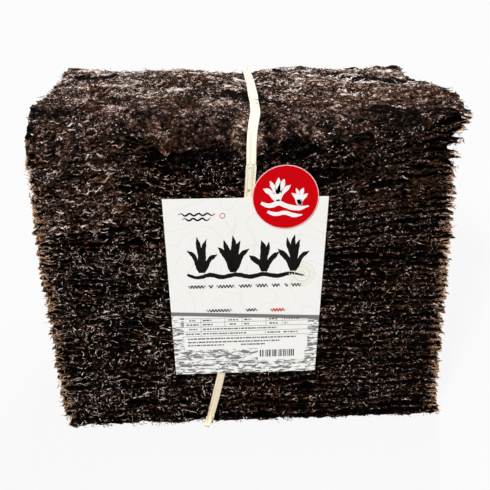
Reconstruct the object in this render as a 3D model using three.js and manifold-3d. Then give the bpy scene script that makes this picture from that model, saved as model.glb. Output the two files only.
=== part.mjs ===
// A tied bundle of a hundred rough dried seaweed sheets, with a straw tie, a paper
// label and a round sticker. Millimetres, +Z up, the labelled front towards -Y.
// The origin lies on the table under the middle of the bundle's box.
//
// The sheets lie flat on each other. They are pressed together in twos, and each two
// are one thin wavy solid. Every layer has the same grid of points seen from above,
// so neighbours keep an even gap. The top layers roll down over the front, where the
// tie pulls them, and fan open at the right front corner.

import * as THREE from "three";
import { mergeVertices } from "three/addons/utils/BufferGeometryUtils.js";
import Module from "manifold-3d";

// --- Driving dimensions -----------------------------------------------------------

const SHEET_WIDTH = 270; // along X
const SHEET_DEPTH = 195; // along Y
const STACK_HEIGHT = 219;
const SHEET_COUNT = 100;
const SHEETS_PRESSED_TOGETHER = 2;
const LAYER_GAP = 0.65; // between two layers
const LAYER_THICKNESS = 4.5; // at most, so a layer that lifts leaves an open gap
const PITCH_SPREAD = 0.22; // how uneven the layers' spacing is, as a share of it

const COLUMNS = 8;
const ROWS_FROM_FRONT = [0, 14, 34, 74, 114, 154, SHEET_DEPTH];

// Where the left and right edges of the bundle stand, by height as a share of it.
const LEFT_EDGE = [[0, -130], [0.08, -133], [0.3, -135], [0.55, -138.5], [0.9, -139], [1, -141]];
const RIGHT_EDGE = [[0, 134], [0.06, 130.5], [0.75, 129.5], [0.85, 127], [0.93, 131], [1, 135]];
const TOP_BULGE = 6; // the topmost layers' right edge stands out near the front
const TOP_BULGE_Y = -40;
const TOP_NOTCH = 5; // and in towards the back
const TOP_NOTCH_Y = 45;
const TOP_BULGE_WIDTH = 38;
const TOP_BULGE_LEVEL = 0.9; // where it starts, as a share of the height
const SIDE_UNEVENNESS = 2; // how far a point of a side edge strays from its line
const FRONT_UNEVENNESS = 1.1; // the same at the front and back edges
const INWARD_REACH = 90; // this far to either side of the tie they stray only inward
const ROLL_CALM = 0.8; // how much less they stray in the topmost layers
const EDGE_CURL = 0.25; // how far it strays up or down

// The roll of the top layers over the front edge: how far the top sheet hangs, by X.
const ROLL_DEPTHS = [[-140, 30], [-95, 17], [-45, 25], [30, 25], [75, 15], [118, 0]];
const ROLL_LENGTH = 35; // how far back from the front edge it starts
const ROLL_SHARE = 0.4; // the share of the layers that take part
const ROLL_POWER = 1.15; // over 1, the topmost layers roll the most

// The tie's dent in the top, and the lift of the right front corner.
const DENT_DEPTH = 2.5;
const DENT_WIDTH = 26;
const LIFT_HEIGHT = 6;
const LIFT_X = [80, 140];
const LIFT_SHARE = 0.05; // the share of the layers that lift
const LIFT_MIDDLE_Y = -45;
const LIFT_WIDTH_Y = 45;
const SAG_DEPTH = 6; // the layers just below sag, so that the corner gapes
const SAG_LEVEL = 0.9;
const SAG_SPREAD = 0.04;

// The slow waves that run through the sheets: height, two wavelengths, turn by level.
const WAVES = [
  { height: 0.7, lengthX: 190, lengthY: 260, turn: 17 },
  { height: 0.6, lengthX: 105, lengthY: -170, turn: -23 },
  { height: 0.4, lengthX: -75, lengthY: 120, turn: 31 },
];
const WAVES_START = 0.05; // the lowest layers lie flat

// The tie, a flat strip of dried straw.
const TIE_WIDTH = 5.6;
const TIE_THICKNESS = 0.5;
const TIE_FRONT_TOP_X = -0.9; // where it meets the top front edge
const TIE_FRONT_SLANT = 0.0275; // it runs left as it comes down
const TIE_FRONT_BOW = 0.00053;
const TIE_TOP_FRONT_X = 1.1;
const TIE_TOP_BACK_X = 6.4;
const TIE_BACK_BOTTOM_X = -22;
const TIE_STEP = 15; // the longest straight stretch of its path
const TIE_SAMPLE_STEP = 1.5; // how closely the top under it is measured
const TIE_SAMPLE_SIDES = [-0.55, -0.275, 0, 0.275, 0.55]; // and across it, in widths
const TIE_FLOOR_GAP = 0.2; // under the bundle, so that the sheets carry the weight
const GROOVE_CLEARANCE = 0.4;
const KNOT_RADII = [4.4, 2.2, 3.8];
const KNOT_SEGMENTS = [14, 9];
const KNOT_Z = 203;
const TAIL_WIDTH = 4.2;
const TAILS = [
  { length: 17, lean: 4 }, // up, its tip just shows over the back edge
  { length: 24, lean: 157 }, // down, to one side
];

// The label and the sticker.
const LABEL_TOP_WIDTH = 106;
const LABEL_BOTTOM_WIDTH = 96;
const LABEL_MIDDLE_X = -5.6;
const LABEL_BOTTOM_Z = 42.5;
const LABEL_TOP_Z = 169.5;
const LABEL_THICKNESS = 0.5;
const STICKER_DIAMETER = 42.5;
const STICKER_X = 19.6;
const STICKER_Z = 169.5;
const STICKER_THICKNESS = 0.3;
const STICKER_SIDES = 48;
const SKIN_GAP = 0.35; // between the sheets, the tie, the label and the sticker
const MERGE_DISTANCE = 0.001; // points closer than this are one

// --- Small helpers ----------------------------------------------------------------

const FRONT_Y = -SHEET_DEPTH / 2;
const BACK_Y = SHEET_DEPTH / 2;
const LAYER_COUNT = SHEET_COUNT / SHEETS_PRESSED_TOGETHER;
const ROWS = ROWS_FROM_FRONT.length - 1;

/** A repeatable stream of numbers from 0 to 1. */
function makeRandom(seed) {
  let state = seed;
  return () => {
    state = (state + 0x6d2b79f5) | 0;
    let mixed = Math.imul(state ^ (state >>> 15), 1 | state);
    mixed = (mixed + Math.imul(mixed ^ (mixed >>> 7), 61 | mixed)) ^ mixed;
    return ((mixed ^ (mixed >>> 14)) >>> 0) / 4294967296;
  };
}

const random = makeRandom(41);
const straying = (reach) => (2 * random() - 1) * reach;

/** A smooth step from 0 at start to 1 at end, either way round. */
function smoothBetween(start, end, value) {
  const share = THREE.MathUtils.clamp((value - start) / (end - start), 0, 1);
  return share * share * (3 - 2 * share);
}

/** A bell of height 1 round middle. */
const bell = (value, middle, width) => Math.exp(-(((value - middle) / width) ** 2));

/** The value of a line through [place, value] points, at a place. */
function along(points, place) {
  const last = points.findIndex(([end]) => end >= place);
  if (last <= 0) return points[last < 0 ? points.length - 1 : 0][1];
  const [startPlace, startValue] = points[last - 1];
  const [endPlace, endValue] = points[last];
  return THREE.MathUtils.mapLinear(place, startPlace, endPlace, startValue, endValue);
}

// --- The shape of the pile --------------------------------------------------------

/** How far the top sheet is below its level at a point, from the roll and the dent. */
function dropOfTop(x, y) {
  const start = FRONT_Y + ROLL_LENGTH;
  const reach = Math.max(0, (start - y) / ROLL_LENGTH);
  const dent = DENT_DEPTH * bell(x, tieXOnTop(y), DENT_WIDTH);
  return along(ROLL_DEPTHS, x) * reach ** 2 + dent;
}

/** How much of the top sheet's drop a level takes part in. */
const rollShare = (level) => Math.max(0, (level - 1 + ROLL_SHARE) / ROLL_SHARE) ** ROLL_POWER;

/** How far the right front corner lifts, or sags in the layers just below. */
function liftOfCorner(x, y, level) {
  const place = smoothBetween(...LIFT_X, x) * bell(y, LIFT_MIDDLE_Y, LIFT_WIDTH_Y);
  const lift = LIFT_HEIGHT * smoothBetween(1 - LIFT_SHARE, 1, level);
  const sag = SAG_DEPTH * bell(level, SAG_LEVEL, SAG_SPREAD);
  return place * (lift - sag);
}

/** The height of the surface between two layers, at a level from 0 to 1. */
function surfaceHeight(x, y, level) {
  let height = level * STACK_HEIGHT - dropOfTop(x, y) * rollShare(level) + liftOfCorner(x, y, level);
  for (const wave of WAVES) {
    const phase = 2 * Math.PI * (x / wave.lengthX + y / wave.lengthY) + wave.turn * level;
    height += wave.height * Math.sin(phase) * smoothBetween(0, WAVES_START, level);
  }
  return height;
}

/** The levels of the surfaces between the layers, unevenly spaced. */
function makeLevels() {
  const levels = [0];
  for (let layer = 0; layer < LAYER_COUNT; layer += 1) {
    levels.push(levels[layer] + 1 + straying(PITCH_SPREAD));
  }
  return levels.map((level) => level / levels[LAYER_COUNT]);
}

/** The points of one layer seen from above, row by row, its edges uneven. */
function makeOutline(level) {
  const left = along(LEFT_EDGE, level);
  const right = along(RIGHT_EDGE, level);
  const calm = 1 - ROLL_CALM * rollShare(level);
  const bulge = (y) => (TOP_BULGE * bell(y, TOP_BULGE_Y, TOP_BULGE_WIDTH)
    - TOP_NOTCH * bell(y, TOP_NOTCH_Y, TOP_BULGE_WIDTH)) * smoothBetween(TOP_BULGE_LEVEL, 1, level);
  const inward = (x) => (Math.abs(x) < INWARD_REACH ? random() : straying(1)) * FRONT_UNEVENNESS;
  const points = [];
  for (let row = 0; row <= ROWS; row += 1) {
    for (let column = 0; column <= COLUMNS; column += 1) {
      const point = new THREE.Vector2(
        (column / COLUMNS - 0.5) * SHEET_WIDTH,
        FRONT_Y + ROWS_FROM_FRONT[row],
      );
      if (row === 0) point.y += inward(point.x) * calm;
      if (row === ROWS) point.y -= inward(point.x) * calm;
      if (column === 0) point.x = left + straying(SIDE_UNEVENNESS);
      if (column === COLUMNS) point.x = right + straying(SIDE_UNEVENNESS) + bulge(point.y);
      points.push(point);
    }
  }
  return points;
}

/** The small ups and downs of one surface's edge points; inner points have none. */
function makeCurls() {
  const curls = [];
  for (let row = 0; row <= ROWS; row += 1) {
    for (let column = 0; column <= COLUMNS; column += 1) {
      const edge = row % ROWS === 0 || column % COLUMNS === 0;
      curls.push(edge ? straying(EDGE_CURL) : 0);
    }
  }
  return curls;
}

/** The closed solid between two faces that share one outline and one set of triangles. */
function closedLayer(outline, lowerHeights, upperHeights) {
  const perRow = COLUMNS + 1;
  const count = outline.length;
  const positions = [];
  outline.forEach((point, index) => positions.push(point.x, point.y, lowerHeights[index]));
  outline.forEach((point, index) => positions.push(point.x, point.y, upperHeights[index]));

  const triangles = [];
  for (let row = 0; row < ROWS; row += 1) {
    for (let column = 0; column < COLUMNS; column += 1) {
      const near = row * perRow + column;
      const far = near + perRow;
      triangles.push(count + near, count + near + 1, count + far + 1);
      triangles.push(count + near, count + far + 1, count + far);
      triangles.push(near, far + 1, near + 1);
      triangles.push(near, far, far + 1);
    }
  }
  const ring = [];
  for (let column = 0; column < COLUMNS; column += 1) ring.push(column);
  for (let row = 0; row < ROWS; row += 1) ring.push(row * perRow + COLUMNS);
  for (let column = COLUMNS; column > 0; column -= 1) ring.push(ROWS * perRow + column);
  for (let row = ROWS; row > 0; row -= 1) ring.push(row * perRow);
  ring.forEach((start, index) => {
    const end = ring[(index + 1) % ring.length];
    triangles.push(start, end, count + end, start, count + end, count + start);
  });
  const geometry = new THREE.BufferGeometry();
  geometry.setAttribute("position", new THREE.Float32BufferAttribute(positions, 3));
  geometry.setIndex(triangles);
  return geometry;
}

// --- Joining and cutting ----------------------------------------------------------

const wasm = await Module();
wasm.setup();

/** A solid for joining and cutting, from a closed geometry. */
function toSolid(geometry) {
  const bare = geometry.clone();
  bare.deleteAttribute("normal");
  bare.deleteAttribute("uv");
  const merged = mergeVertices(bare, MERGE_DISTANCE);
  return new wasm.Manifold(new wasm.Mesh({
    numProp: 3,
    vertProperties: new Float32Array(merged.attributes.position.array),
    triVerts: new Uint32Array(merged.index.array),
  }));
}

/** The geometry of a joined or cut solid. */
function toGeometry(solid) {
  const mesh = solid.getMesh();
  const geometry = new THREE.BufferGeometry();
  geometry.setAttribute("position", new THREE.BufferAttribute(mesh.vertProperties, 3));
  geometry.setIndex(new THREE.BufferAttribute(mesh.triVerts, 1));
  return geometry;
}

// --- The tie's path ---------------------------------------------------------------

const TIE_BOTTOM_Z = TIE_THICKNESS + TIE_FLOOR_GAP; // its inner face, under the bundle
const TIE_FRONT_Y = FRONT_Y - SKIN_GAP;
const TIE_BACK_Y = BACK_Y + SKIN_GAP;

/** Where the tie runs on the top, at a depth. */
function tieXOnTop(y) {
  const away = Math.max(0, BACK_Y - y) / SHEET_DEPTH;
  return THREE.MathUtils.lerp(TIE_TOP_BACK_X, TIE_TOP_FRONT_X, away ** 2);
}

/** Where the tie runs on the front, at a height. */
function tieXOnFront(z) {
  const down = STACK_HEIGHT - z;
  return TIE_FRONT_TOP_X - TIE_FRONT_SLANT * down - TIE_FRONT_BOW * down ** 2;
}

/** Where the tie runs on the back, at a height. */
function tieXOnBack(z) {
  return THREE.MathUtils.mapLinear(z, 0, STACK_HEIGHT, TIE_BACK_BOTTOM_X, TIE_TOP_BACK_X);
}

/** The height of the top layer's upper face under the tie's full width. */
function topUnderTie(y, topLayer) {
  const caster = new THREE.Raycaster();
  const heights = TIE_SAMPLE_SIDES.map((side) => {
    const from = new THREE.Vector3(tieXOnTop(y) + side * TIE_WIDTH, y, 2 * STACK_HEIGHT);
    caster.set(from, new THREE.Vector3(0, 0, -1));
    const hits = caster.intersectObject(topLayer);
    return hits.length > 0 ? hits[0].point.z : 0;
  });
  return Math.max(...heights);
}

/** The taut line over the top from the front face to the back, as [y, z] points. */
function tautLineOverTop(topLayer) {
  const profile = [];
  for (let y = FRONT_Y; y <= BACK_Y; y += TIE_SAMPLE_STEP) {
    const height = topUnderTie(y, topLayer);
    if (height > 0) profile.push([y, height + SKIN_GAP]);
  }
  profile.unshift([TIE_FRONT_Y, profile[0][1]]);
  profile.push([TIE_BACK_Y, profile[profile.length - 1][1]]);
  const taut = [];
  for (const point of profile) {
    while (taut.length > 1) {
      const [before, middle] = taut.slice(-2);
      const turn = (middle[0] - before[0]) * (point[1] - before[1])
        - (middle[1] - before[1]) * (point[0] - before[0]);
      if (turn < 0) break;
      taut.pop();
    }
    taut.push(point);
  }
  return taut;
}

/** Points along a polyline with no stretch longer than the tie's step. */
function subdivided(points) {
  const dense = [points[0]];
  for (let index = 1; index < points.length; index += 1) {
    const [start, end] = [points[index - 1], points[index]];
    const parts = Math.ceil(start.distanceTo(end) / TIE_STEP);
    for (let part = 1; part <= parts; part += 1) {
      dense.push(start.clone().lerp(end, part / parts));
    }
  }
  return dense;
}

/** The closed path of the tie's inner face, in the plane of Y and Z, front to back. */
function tiePath(topLayer) {
  const over = tautLineOverTop(topLayer).map(([y, z]) => new THREE.Vector3(0, y, z));
  const corners = [
    ...over,
    new THREE.Vector3(0, TIE_BACK_Y, TIE_BOTTOM_Z),
    new THREE.Vector3(0, TIE_FRONT_Y, TIE_BOTTOM_Z),
    over[0],
  ];
  const path = subdivided(corners).slice(0, -1);
  for (const point of path) {
    const onFront = point.y <= TIE_FRONT_Y + MERGE_DISTANCE;
    const onBack = point.y >= TIE_BACK_Y - MERGE_DISTANCE;
    if (onFront) point.x = tieXOnFront(point.z);
    else if (onBack) point.x = tieXOnBack(point.z);
    else if (point.z > STACK_HEIGHT / 2) point.x = tieXOverRoll(point.y, over[0].z);
    else point.x = tieXUnderneath(point.y);
  }
  return path;
}

/** Where the tie runs over the top, eased into its place on the front. */
function tieXOverRoll(y, frontZ) {
  const ease = smoothBetween(FRONT_Y + ROLL_LENGTH, TIE_FRONT_Y, y);
  return THREE.MathUtils.lerp(tieXOnTop(y), tieXOnFront(frontZ), ease);
}

/** Where the tie runs under the bundle, straight from front to back. */
function tieXUnderneath(y) {
  return THREE.MathUtils.mapLinear(y, TIE_FRONT_Y, TIE_BACK_Y, tieXOnFront(0), tieXOnBack(0));
}

/** The tie's loop: a flat strip swept along its path, folded along lines parallel to X. */
function tieLoop(path) {
  const count = path.length;
  const positions = [];
  path.forEach((point, index) => {
    const before = path[(index + count - 1) % count];
    const after = path[(index + 1) % count];
    const into = point.clone().sub(before).normalize();
    const out = after.clone().sub(point).normalize();
    const ahead = into.clone().add(out).normalize();
    const outward = new THREE.Vector3(0, -ahead.z, ahead.y).normalize();
    const stretch = 1 / ahead.dot(out);
    for (const [across, lift] of [[-1, 0], [1, 0], [1, 1], [-1, 1]]) {
      const corner = point.clone().addScaledVector(outward, lift * TIE_THICKNESS * stretch);
      corner.x += across * TIE_WIDTH / 2;
      positions.push(...corner.toArray());
    }
  });
  const triangles = [];
  for (let station = 0; station < count; station += 1) {
    for (let corner = 0; corner < 4; corner += 1) {
      const here = station * 4 + corner;
      const beside = station * 4 + ((corner + 1) % 4);
      const ahead = ((station + 1) % count) * 4 + corner;
      const aheadBeside = ((station + 1) % count) * 4 + ((corner + 1) % 4);
      triangles.push(here, aheadBeside, beside, here, ahead, aheadBeside);
    }
  }
  const geometry = new THREE.BufferGeometry();
  geometry.setAttribute("position", new THREE.Float32BufferAttribute(positions, 3));
  geometry.setIndex(triangles);
  return geometry;
}

// --- The pieces -------------------------------------------------------------------

const materials = {
  nori: () => new THREE.MeshStandardMaterial({ color: "#2a201b", roughness: 0.62, metalness: 0 }),
  straw: () => new THREE.MeshStandardMaterial({ color: "#f2ead2", roughness: 0.7, metalness: 0 }),
  paper: () => new THREE.MeshStandardMaterial({ color: "#f1f0ec", roughness: 0.8, metalness: 0 }),
  sticker: () => new THREE.MeshStandardMaterial({ color: "#ce000d", roughness: 0.45, metalness: 0 }),
};

const named = (name, geometry, material) => {
  const mesh = new THREE.Mesh(geometry, material);
  mesh.name = name;
  return mesh;
};

/** The layers of sheets, the lowest first. */
function makeLayers() {
  const levels = makeLevels();
  const curls = levels.map((level) => (level === 0 ? makeCurls().map(() => 0) : makeCurls()));
  const layers = [];
  for (let index = 0; index < LAYER_COUNT; index += 1) {
    const outline = makeOutline((levels[index] + levels[index + 1]) / 2);
    const heightAt = (point, corner, surface) => (
      surfaceHeight(point.x, point.y, levels[surface]) + curls[surface][corner]
    );
    const lower = outline.map((point, corner) => (
      index === 0 ? 0 : heightAt(point, corner, index) + LAYER_GAP / 2
    ));
    const upper = outline.map((point, corner) => Math.min(
      heightAt(point, corner, index + 1) - LAYER_GAP / 2,
      lower[corner] + LAYER_THICKNESS,
    ));
    const name = `sheets_${String(index + 1).padStart(2, "0")}`;
    layers.push(named(name, closedLayer(outline, lower, upper), materials.nori()));
  }
  return layers;
}

/** Cuts the shallow groove that the tie has pressed into the lowest layer. */
function pressGroove(lowestLayer) {
  const from = new THREE.Vector2(tieXOnFront(0), TIE_FRONT_Y);
  const to = new THREE.Vector2(tieXOnBack(0), TIE_BACK_Y);
  const depth = TIE_BOTTOM_Z + GROOVE_CLEARANCE;
  const length = SHEET_DEPTH + SHEET_WIDTH / 4; // slanted, it still runs past both edges
  const cutter = new THREE.BoxGeometry(TIE_WIDTH + 2 * GROOVE_CLEARANCE, length, 2 * depth);
  cutter.rotateZ(-Math.atan2(to.x - from.x, to.y - from.y));
  cutter.translate((from.x + to.x) / 2, (from.y + to.y) / 2, 0);
  lowestLayer.geometry = toGeometry(toSolid(lowestLayer.geometry).subtract(toSolid(cutter)));
}

/** The tie with its flat knot and two loose ends at the back. */
function makeTie(topLayer) {
  let solid = toSolid(tieLoop(tiePath(topLayer)));
  const knot = new THREE.SphereGeometry(1, ...KNOT_SEGMENTS);
  knot.scale(...KNOT_RADII);
  const knotX = tieXOnBack(KNOT_Z);
  const knotY = TIE_BACK_Y + KNOT_RADII[1];
  knot.translate(knotX, knotY, KNOT_Z);
  solid = solid.add(toSolid(knot));
  for (const tail of TAILS) {
    const strip = new THREE.BoxGeometry(TAIL_WIDTH, TIE_THICKNESS, tail.length);
    strip.translate(0, 0, tail.length / 2);
    strip.rotateY(THREE.MathUtils.degToRad(tail.lean));
    strip.translate(knotX, knotY, KNOT_Z);
    solid = solid.add(toSolid(strip));
  }
  return named("straw_tie", toGeometry(solid), materials.straw());
}

/** The paper label, a little narrower at the foot, over the tie. */
function makeLabel() {
  const shape = new THREE.Shape([
    new THREE.Vector2(-LABEL_BOTTOM_WIDTH / 2, LABEL_BOTTOM_Z),
    new THREE.Vector2(LABEL_BOTTOM_WIDTH / 2, LABEL_BOTTOM_Z),
    new THREE.Vector2(LABEL_TOP_WIDTH / 2, LABEL_TOP_Z),
    new THREE.Vector2(-LABEL_TOP_WIDTH / 2, LABEL_TOP_Z),
  ]);
  const paper = new THREE.ExtrudeGeometry(shape, { depth: LABEL_THICKNESS, bevelEnabled: false });
  paper.rotateX(Math.PI / 2);
  paper.translate(LABEL_MIDDLE_X, TIE_FRONT_Y - TIE_THICKNESS - SKIN_GAP, 0);
  return named("paper_label", paper, materials.paper());
}

/** The round sticker over the label's top edge. */
function makeSticker() {
  const radius = STICKER_DIAMETER / 2;
  const disc = new THREE.CylinderGeometry(radius, radius, STICKER_THICKNESS, STICKER_SIDES);
  const y = TIE_FRONT_Y - TIE_THICKNESS - LABEL_THICKNESS - 2 * SKIN_GAP - STICKER_THICKNESS / 2;
  disc.translate(STICKER_X, y, STICKER_Z);
  return named("round_sticker", disc, materials.sticker());
}

// --- The bundle -------------------------------------------------------------------

const bundle = new THREE.Group();
const layers = makeLayers();
const tie = makeTie(layers[LAYER_COUNT - 1]);
pressGroove(layers[0]);
bundle.add(...layers, tie, makeLabel(), makeSticker());

// The origin goes under the middle of the whole box.
const middle = new THREE.Box3().setFromObject(bundle).getCenter(new THREE.Vector3());
bundle.position.set(-middle.x, -middle.y, 0);
bundle.updateMatrixWorld(true);

export default bundle;
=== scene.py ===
"""The looks of a tied bundle of a hundred rough dried seaweed sheets.

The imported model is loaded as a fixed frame. Every layer of the pile is replaced by two thin
crumpled sheets, the top one by a finely modelled sheet, and torn shreds stand out round the
edges. The straw tie, the paper label with its print and the round sticker are remodelled.
Sizes are in millimetres until a mesh is written, which is in metres.
"""

import logging
import math
from collections.abc import Callable
from dataclasses import dataclass, field
from enum import Enum

import bpy
import numpy as np
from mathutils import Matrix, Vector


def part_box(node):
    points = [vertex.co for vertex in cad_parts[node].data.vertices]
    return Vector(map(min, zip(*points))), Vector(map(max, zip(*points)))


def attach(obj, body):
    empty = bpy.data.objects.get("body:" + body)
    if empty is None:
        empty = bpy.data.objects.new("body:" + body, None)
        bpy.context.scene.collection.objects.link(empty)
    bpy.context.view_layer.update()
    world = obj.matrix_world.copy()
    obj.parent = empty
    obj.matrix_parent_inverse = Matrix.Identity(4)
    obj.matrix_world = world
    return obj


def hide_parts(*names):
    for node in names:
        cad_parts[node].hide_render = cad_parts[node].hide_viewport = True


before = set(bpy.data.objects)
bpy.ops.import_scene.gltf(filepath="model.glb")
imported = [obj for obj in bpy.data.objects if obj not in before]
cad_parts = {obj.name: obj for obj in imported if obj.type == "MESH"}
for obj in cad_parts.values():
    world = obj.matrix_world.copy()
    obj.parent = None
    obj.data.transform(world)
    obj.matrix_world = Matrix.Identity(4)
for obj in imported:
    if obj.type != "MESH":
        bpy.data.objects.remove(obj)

LOG = logging.getLogger("seaweed_bundle")
MM = 0.001
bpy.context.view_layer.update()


class Slot(Enum):
    """The material slots."""

    NORI = "nori"
    STRAW = "straw"
    PAPER = "paper"
    STICKER = "sticker"


class Side(Enum):
    """The four upright sides of the pile, as the direction they face."""

    FRONT = (0.0, -1.0)
    RIGHT = (1.0, 0.0)
    BACK = (0.0, 1.0)
    LEFT = (-1.0, 0.0)


# --- Small helpers -------------------------------------------------------------------------


def linear(colour: str) -> tuple[float, float, float, float]:
    """Turns an sRGB hex colour to linear.

    Args:
        colour: Six hex digits after a hash.

    Returns:
        Red, green, blue and an alpha of one.
    """
    shares = [int(colour[place:place + 2], 16) / 255 for place in (1, 3, 5)]
    red, green, blue = [
        share / 12.92 if share <= 0.04045 else ((share + 0.055) / 1.055) ** 2.4 for share in shares
    ]
    return red, green, blue, 1.0


def bell(value: np.ndarray, middle: float | np.ndarray, width: float) -> np.ndarray:
    """A bell of height 1 round middle."""
    return np.exp(-(((value - middle) / width) ** 2))


def smooth_between(start: float, end: float, value: np.ndarray) -> np.ndarray:
    """A smooth step from 0 at start to 1 at end, either way round."""
    share = np.clip((value - start) / (end - start), 0, 1)
    return share * share * (3 - 2 * share)


class Crumple:
    """Smooth seeded noise from -1 to 1 on a square lattice."""

    def __init__(self, seed: int, size: int = 128) -> None:
        """Draws the lattice's heights.

        Args:
            seed: The seed of the draw.
            size: Lattice points each way before the noise repeats.
        """
        self.size = size
        self.table = np.random.default_rng(seed).uniform(-1, 1, (size, size))

    def at(self, across: np.ndarray, along: np.ndarray) -> np.ndarray:
        """Reads the noise.

        Args:
            across: First coordinate, in lattice steps.
            along: Second coordinate, in lattice steps.

        Returns:
            The noise at each point.
        """
        left = np.floor(across).astype(int)
        low = np.floor(along).astype(int)
        share_x = across - left
        share_y = along - low
        share_x = share_x * share_x * (3 - 2 * share_x)
        share_y = share_y * share_y * (3 - 2 * share_y)
        left, low = left % self.size, low % self.size
        right, high = (left + 1) % self.size, (low + 1) % self.size
        near = self.table[left, low] * (1 - share_x) + self.table[right, low] * share_x
        far = self.table[left, high] * (1 - share_x) + self.table[right, high] * share_x
        return near * (1 - share_y) + far * share_y

    def waves(self, x: np.ndarray, y: np.ndarray, octaves: tuple, turn: float = 0.0) -> np.ndarray:
        """Adds up noise of several sizes.

        Args:
            x: Places along X.
            y: Places along Y.
            octaves: Pairs of lattice step and height, both in millimetres.
            turn: How far the lattice is turned, in radians.

        Returns:
            The summed height at each point.
        """
        total = np.zeros(np.broadcast(x, y).shape)
        cosine, sine = math.cos(turn), math.sin(turn)
        for index, (step, height) in enumerate(octaves):
            shift = 17.3 * (index + 1)
            across = (cosine * x - sine * y) / step + shift
            along = (sine * x + cosine * y) / step - shift
            total += height * self.at(across, along)
        return total


def unit(rows: np.ndarray) -> np.ndarray:
    """Each row's direction, with a length of 1."""
    return rows / np.linalg.norm(rows, axis=1)[:, None]


def select_only(piece: bpy.types.Object) -> None:
    """Deselects all and makes one object the active and selected one.

    Args:
        piece: The object.
    """
    bpy.ops.object.select_all(action="DESELECT")
    piece.select_set(True)
    bpy.context.view_layer.objects.active = piece


def read_points(piece: bpy.types.Object) -> np.ndarray:
    """Reads a mesh's points.

    Args:
        piece: The mesh object.

    Returns:
        Its points in millimetres, one row each.
    """
    flat = np.empty(len(piece.data.vertices) * 3)
    piece.data.vertices.foreach_get("co", flat)
    return flat.reshape(-1, 3) / MM


def write_points(piece: bpy.types.Object, points: np.ndarray) -> None:
    """Writes a mesh's points, given in millimetres."""
    piece.data.vertices.foreach_set("co", (points * MM).ravel())
    piece.data.update()


def write_attribute(piece: bpy.types.Object, name: str, channels: np.ndarray) -> None:
    """Stores four values for each point as a colour attribute.

    Args:
        piece: The mesh object.
        name: The attribute's name.
        channels: One row of four values for each point.
    """
    layer = piece.data.attributes.new(name, "FLOAT_COLOR", "POINT")
    layer.data.foreach_set("color", channels.astype(float).ravel())


def mesh_object(name: str, points: np.ndarray, faces: list | np.ndarray) -> bpy.types.Object:
    """Makes a mesh object at the origin.

    Args:
        name: The object's and the mesh's name.
        points: Its points in millimetres.
        faces: Its faces as rows of point numbers.

    Returns:
        The new object, linked to the scene.
    """
    mesh = bpy.data.meshes.new(name)
    rows = faces.tolist() if isinstance(faces, np.ndarray) else faces
    mesh.from_pydata((points * MM).tolist(), [], rows)
    mesh.update()
    piece = bpy.data.objects.new(name, mesh)
    bpy.context.scene.collection.objects.link(piece)
    return piece


def thicken(piece: bpy.types.Object, thickness: float) -> None:
    """Gives a flat face its thickness, away from the side it looks to, and applies it.

    Args:
        piece: The flat mesh object.
        thickness: The thickness in millimetres.
    """
    select_only(piece)
    modifier = piece.modifiers.new("Thickness", "SOLIDIFY")
    modifier.thickness = thickness * MM
    modifier.offset = -1
    bpy.ops.object.modifier_apply(modifier=modifier.name)


def dress(piece: bpy.types.Object, material: bpy.types.Material, slot: Slot, *nodes: str) -> None:
    """Gives a finished piece its material and body, and hides the nodes that it stands for.

    Args:
        piece: The finished mesh object.
        material: Its material.
        slot: The material slot; not used.
        nodes: The CAD nodes that it replaces, if any.
    """
    piece.data.materials.clear()
    piece.data.materials.append(material)
    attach(piece, "root")
    if nodes:
        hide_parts(*nodes)
    LOG.info("%s: %d faces", piece.name, len(piece.data.polygons))


def set_inputs(node: bpy.types.Node, inputs: dict) -> None:
    """Sets or links a node's inputs.

    Args:
        node: The node.
        inputs: A value or an output socket for each input, by name or number.
    """
    for key, value in inputs.items():
        if isinstance(value, bpy.types.NodeSocket):
            node.id_data.links.new(value, node.inputs[key])
        else:
            node.inputs[key].default_value = value


def add_node(tree: bpy.types.NodeTree, kind: str, inputs: dict | tuple | list = (),
             **settings: object) -> bpy.types.bpy_prop_collection:
    """Adds a shader node.

    Args:
        tree: The node tree.
        kind: The node's type without its ShaderNode prefix.
        inputs: A value or an output socket for each input, by name, or in order from the first.
        settings: The node's own settings.

    Returns:
        The new node's outputs.
    """
    node = tree.nodes.new("ShaderNode" + kind)
    for key, value in settings.items():
        setattr(node, key, value)
    set_inputs(node, inputs if isinstance(inputs, dict) else dict(enumerate(inputs)))
    return node.outputs


def new_material(name: str) -> tuple[bpy.types.Material, bpy.types.NodeTree, bpy.types.Node]:
    """Starts a material.

    Args:
        name: The material's name.

    Returns:
        The material, its node tree and its principled shader.
    """
    material = bpy.data.materials.new(name)
    material.use_nodes = True
    tree = material.node_tree
    return material, tree, tree.nodes["Principled BSDF"]


def set_ramp(outputs: bpy.types.bpy_prop_collection, stops: list[tuple[float, str]]) -> None:
    """Sets a colour ramp's stops.

    Args:
        outputs: The colour ramp node's outputs.
        stops: Pairs of place and sRGB hex colour, in order.
    """
    elements = outputs[0].node.color_ramp.elements
    while len(elements) > len(stops):
        elements.remove(elements[-1])
    while len(elements) < len(stops):
        elements.new(1.0)
    for element, (place, colour) in zip(elements, stops):
        element.position = place
        element.color = linear(colour)


# --- The pile's shape ----------------------------------------------------------------------


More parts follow.
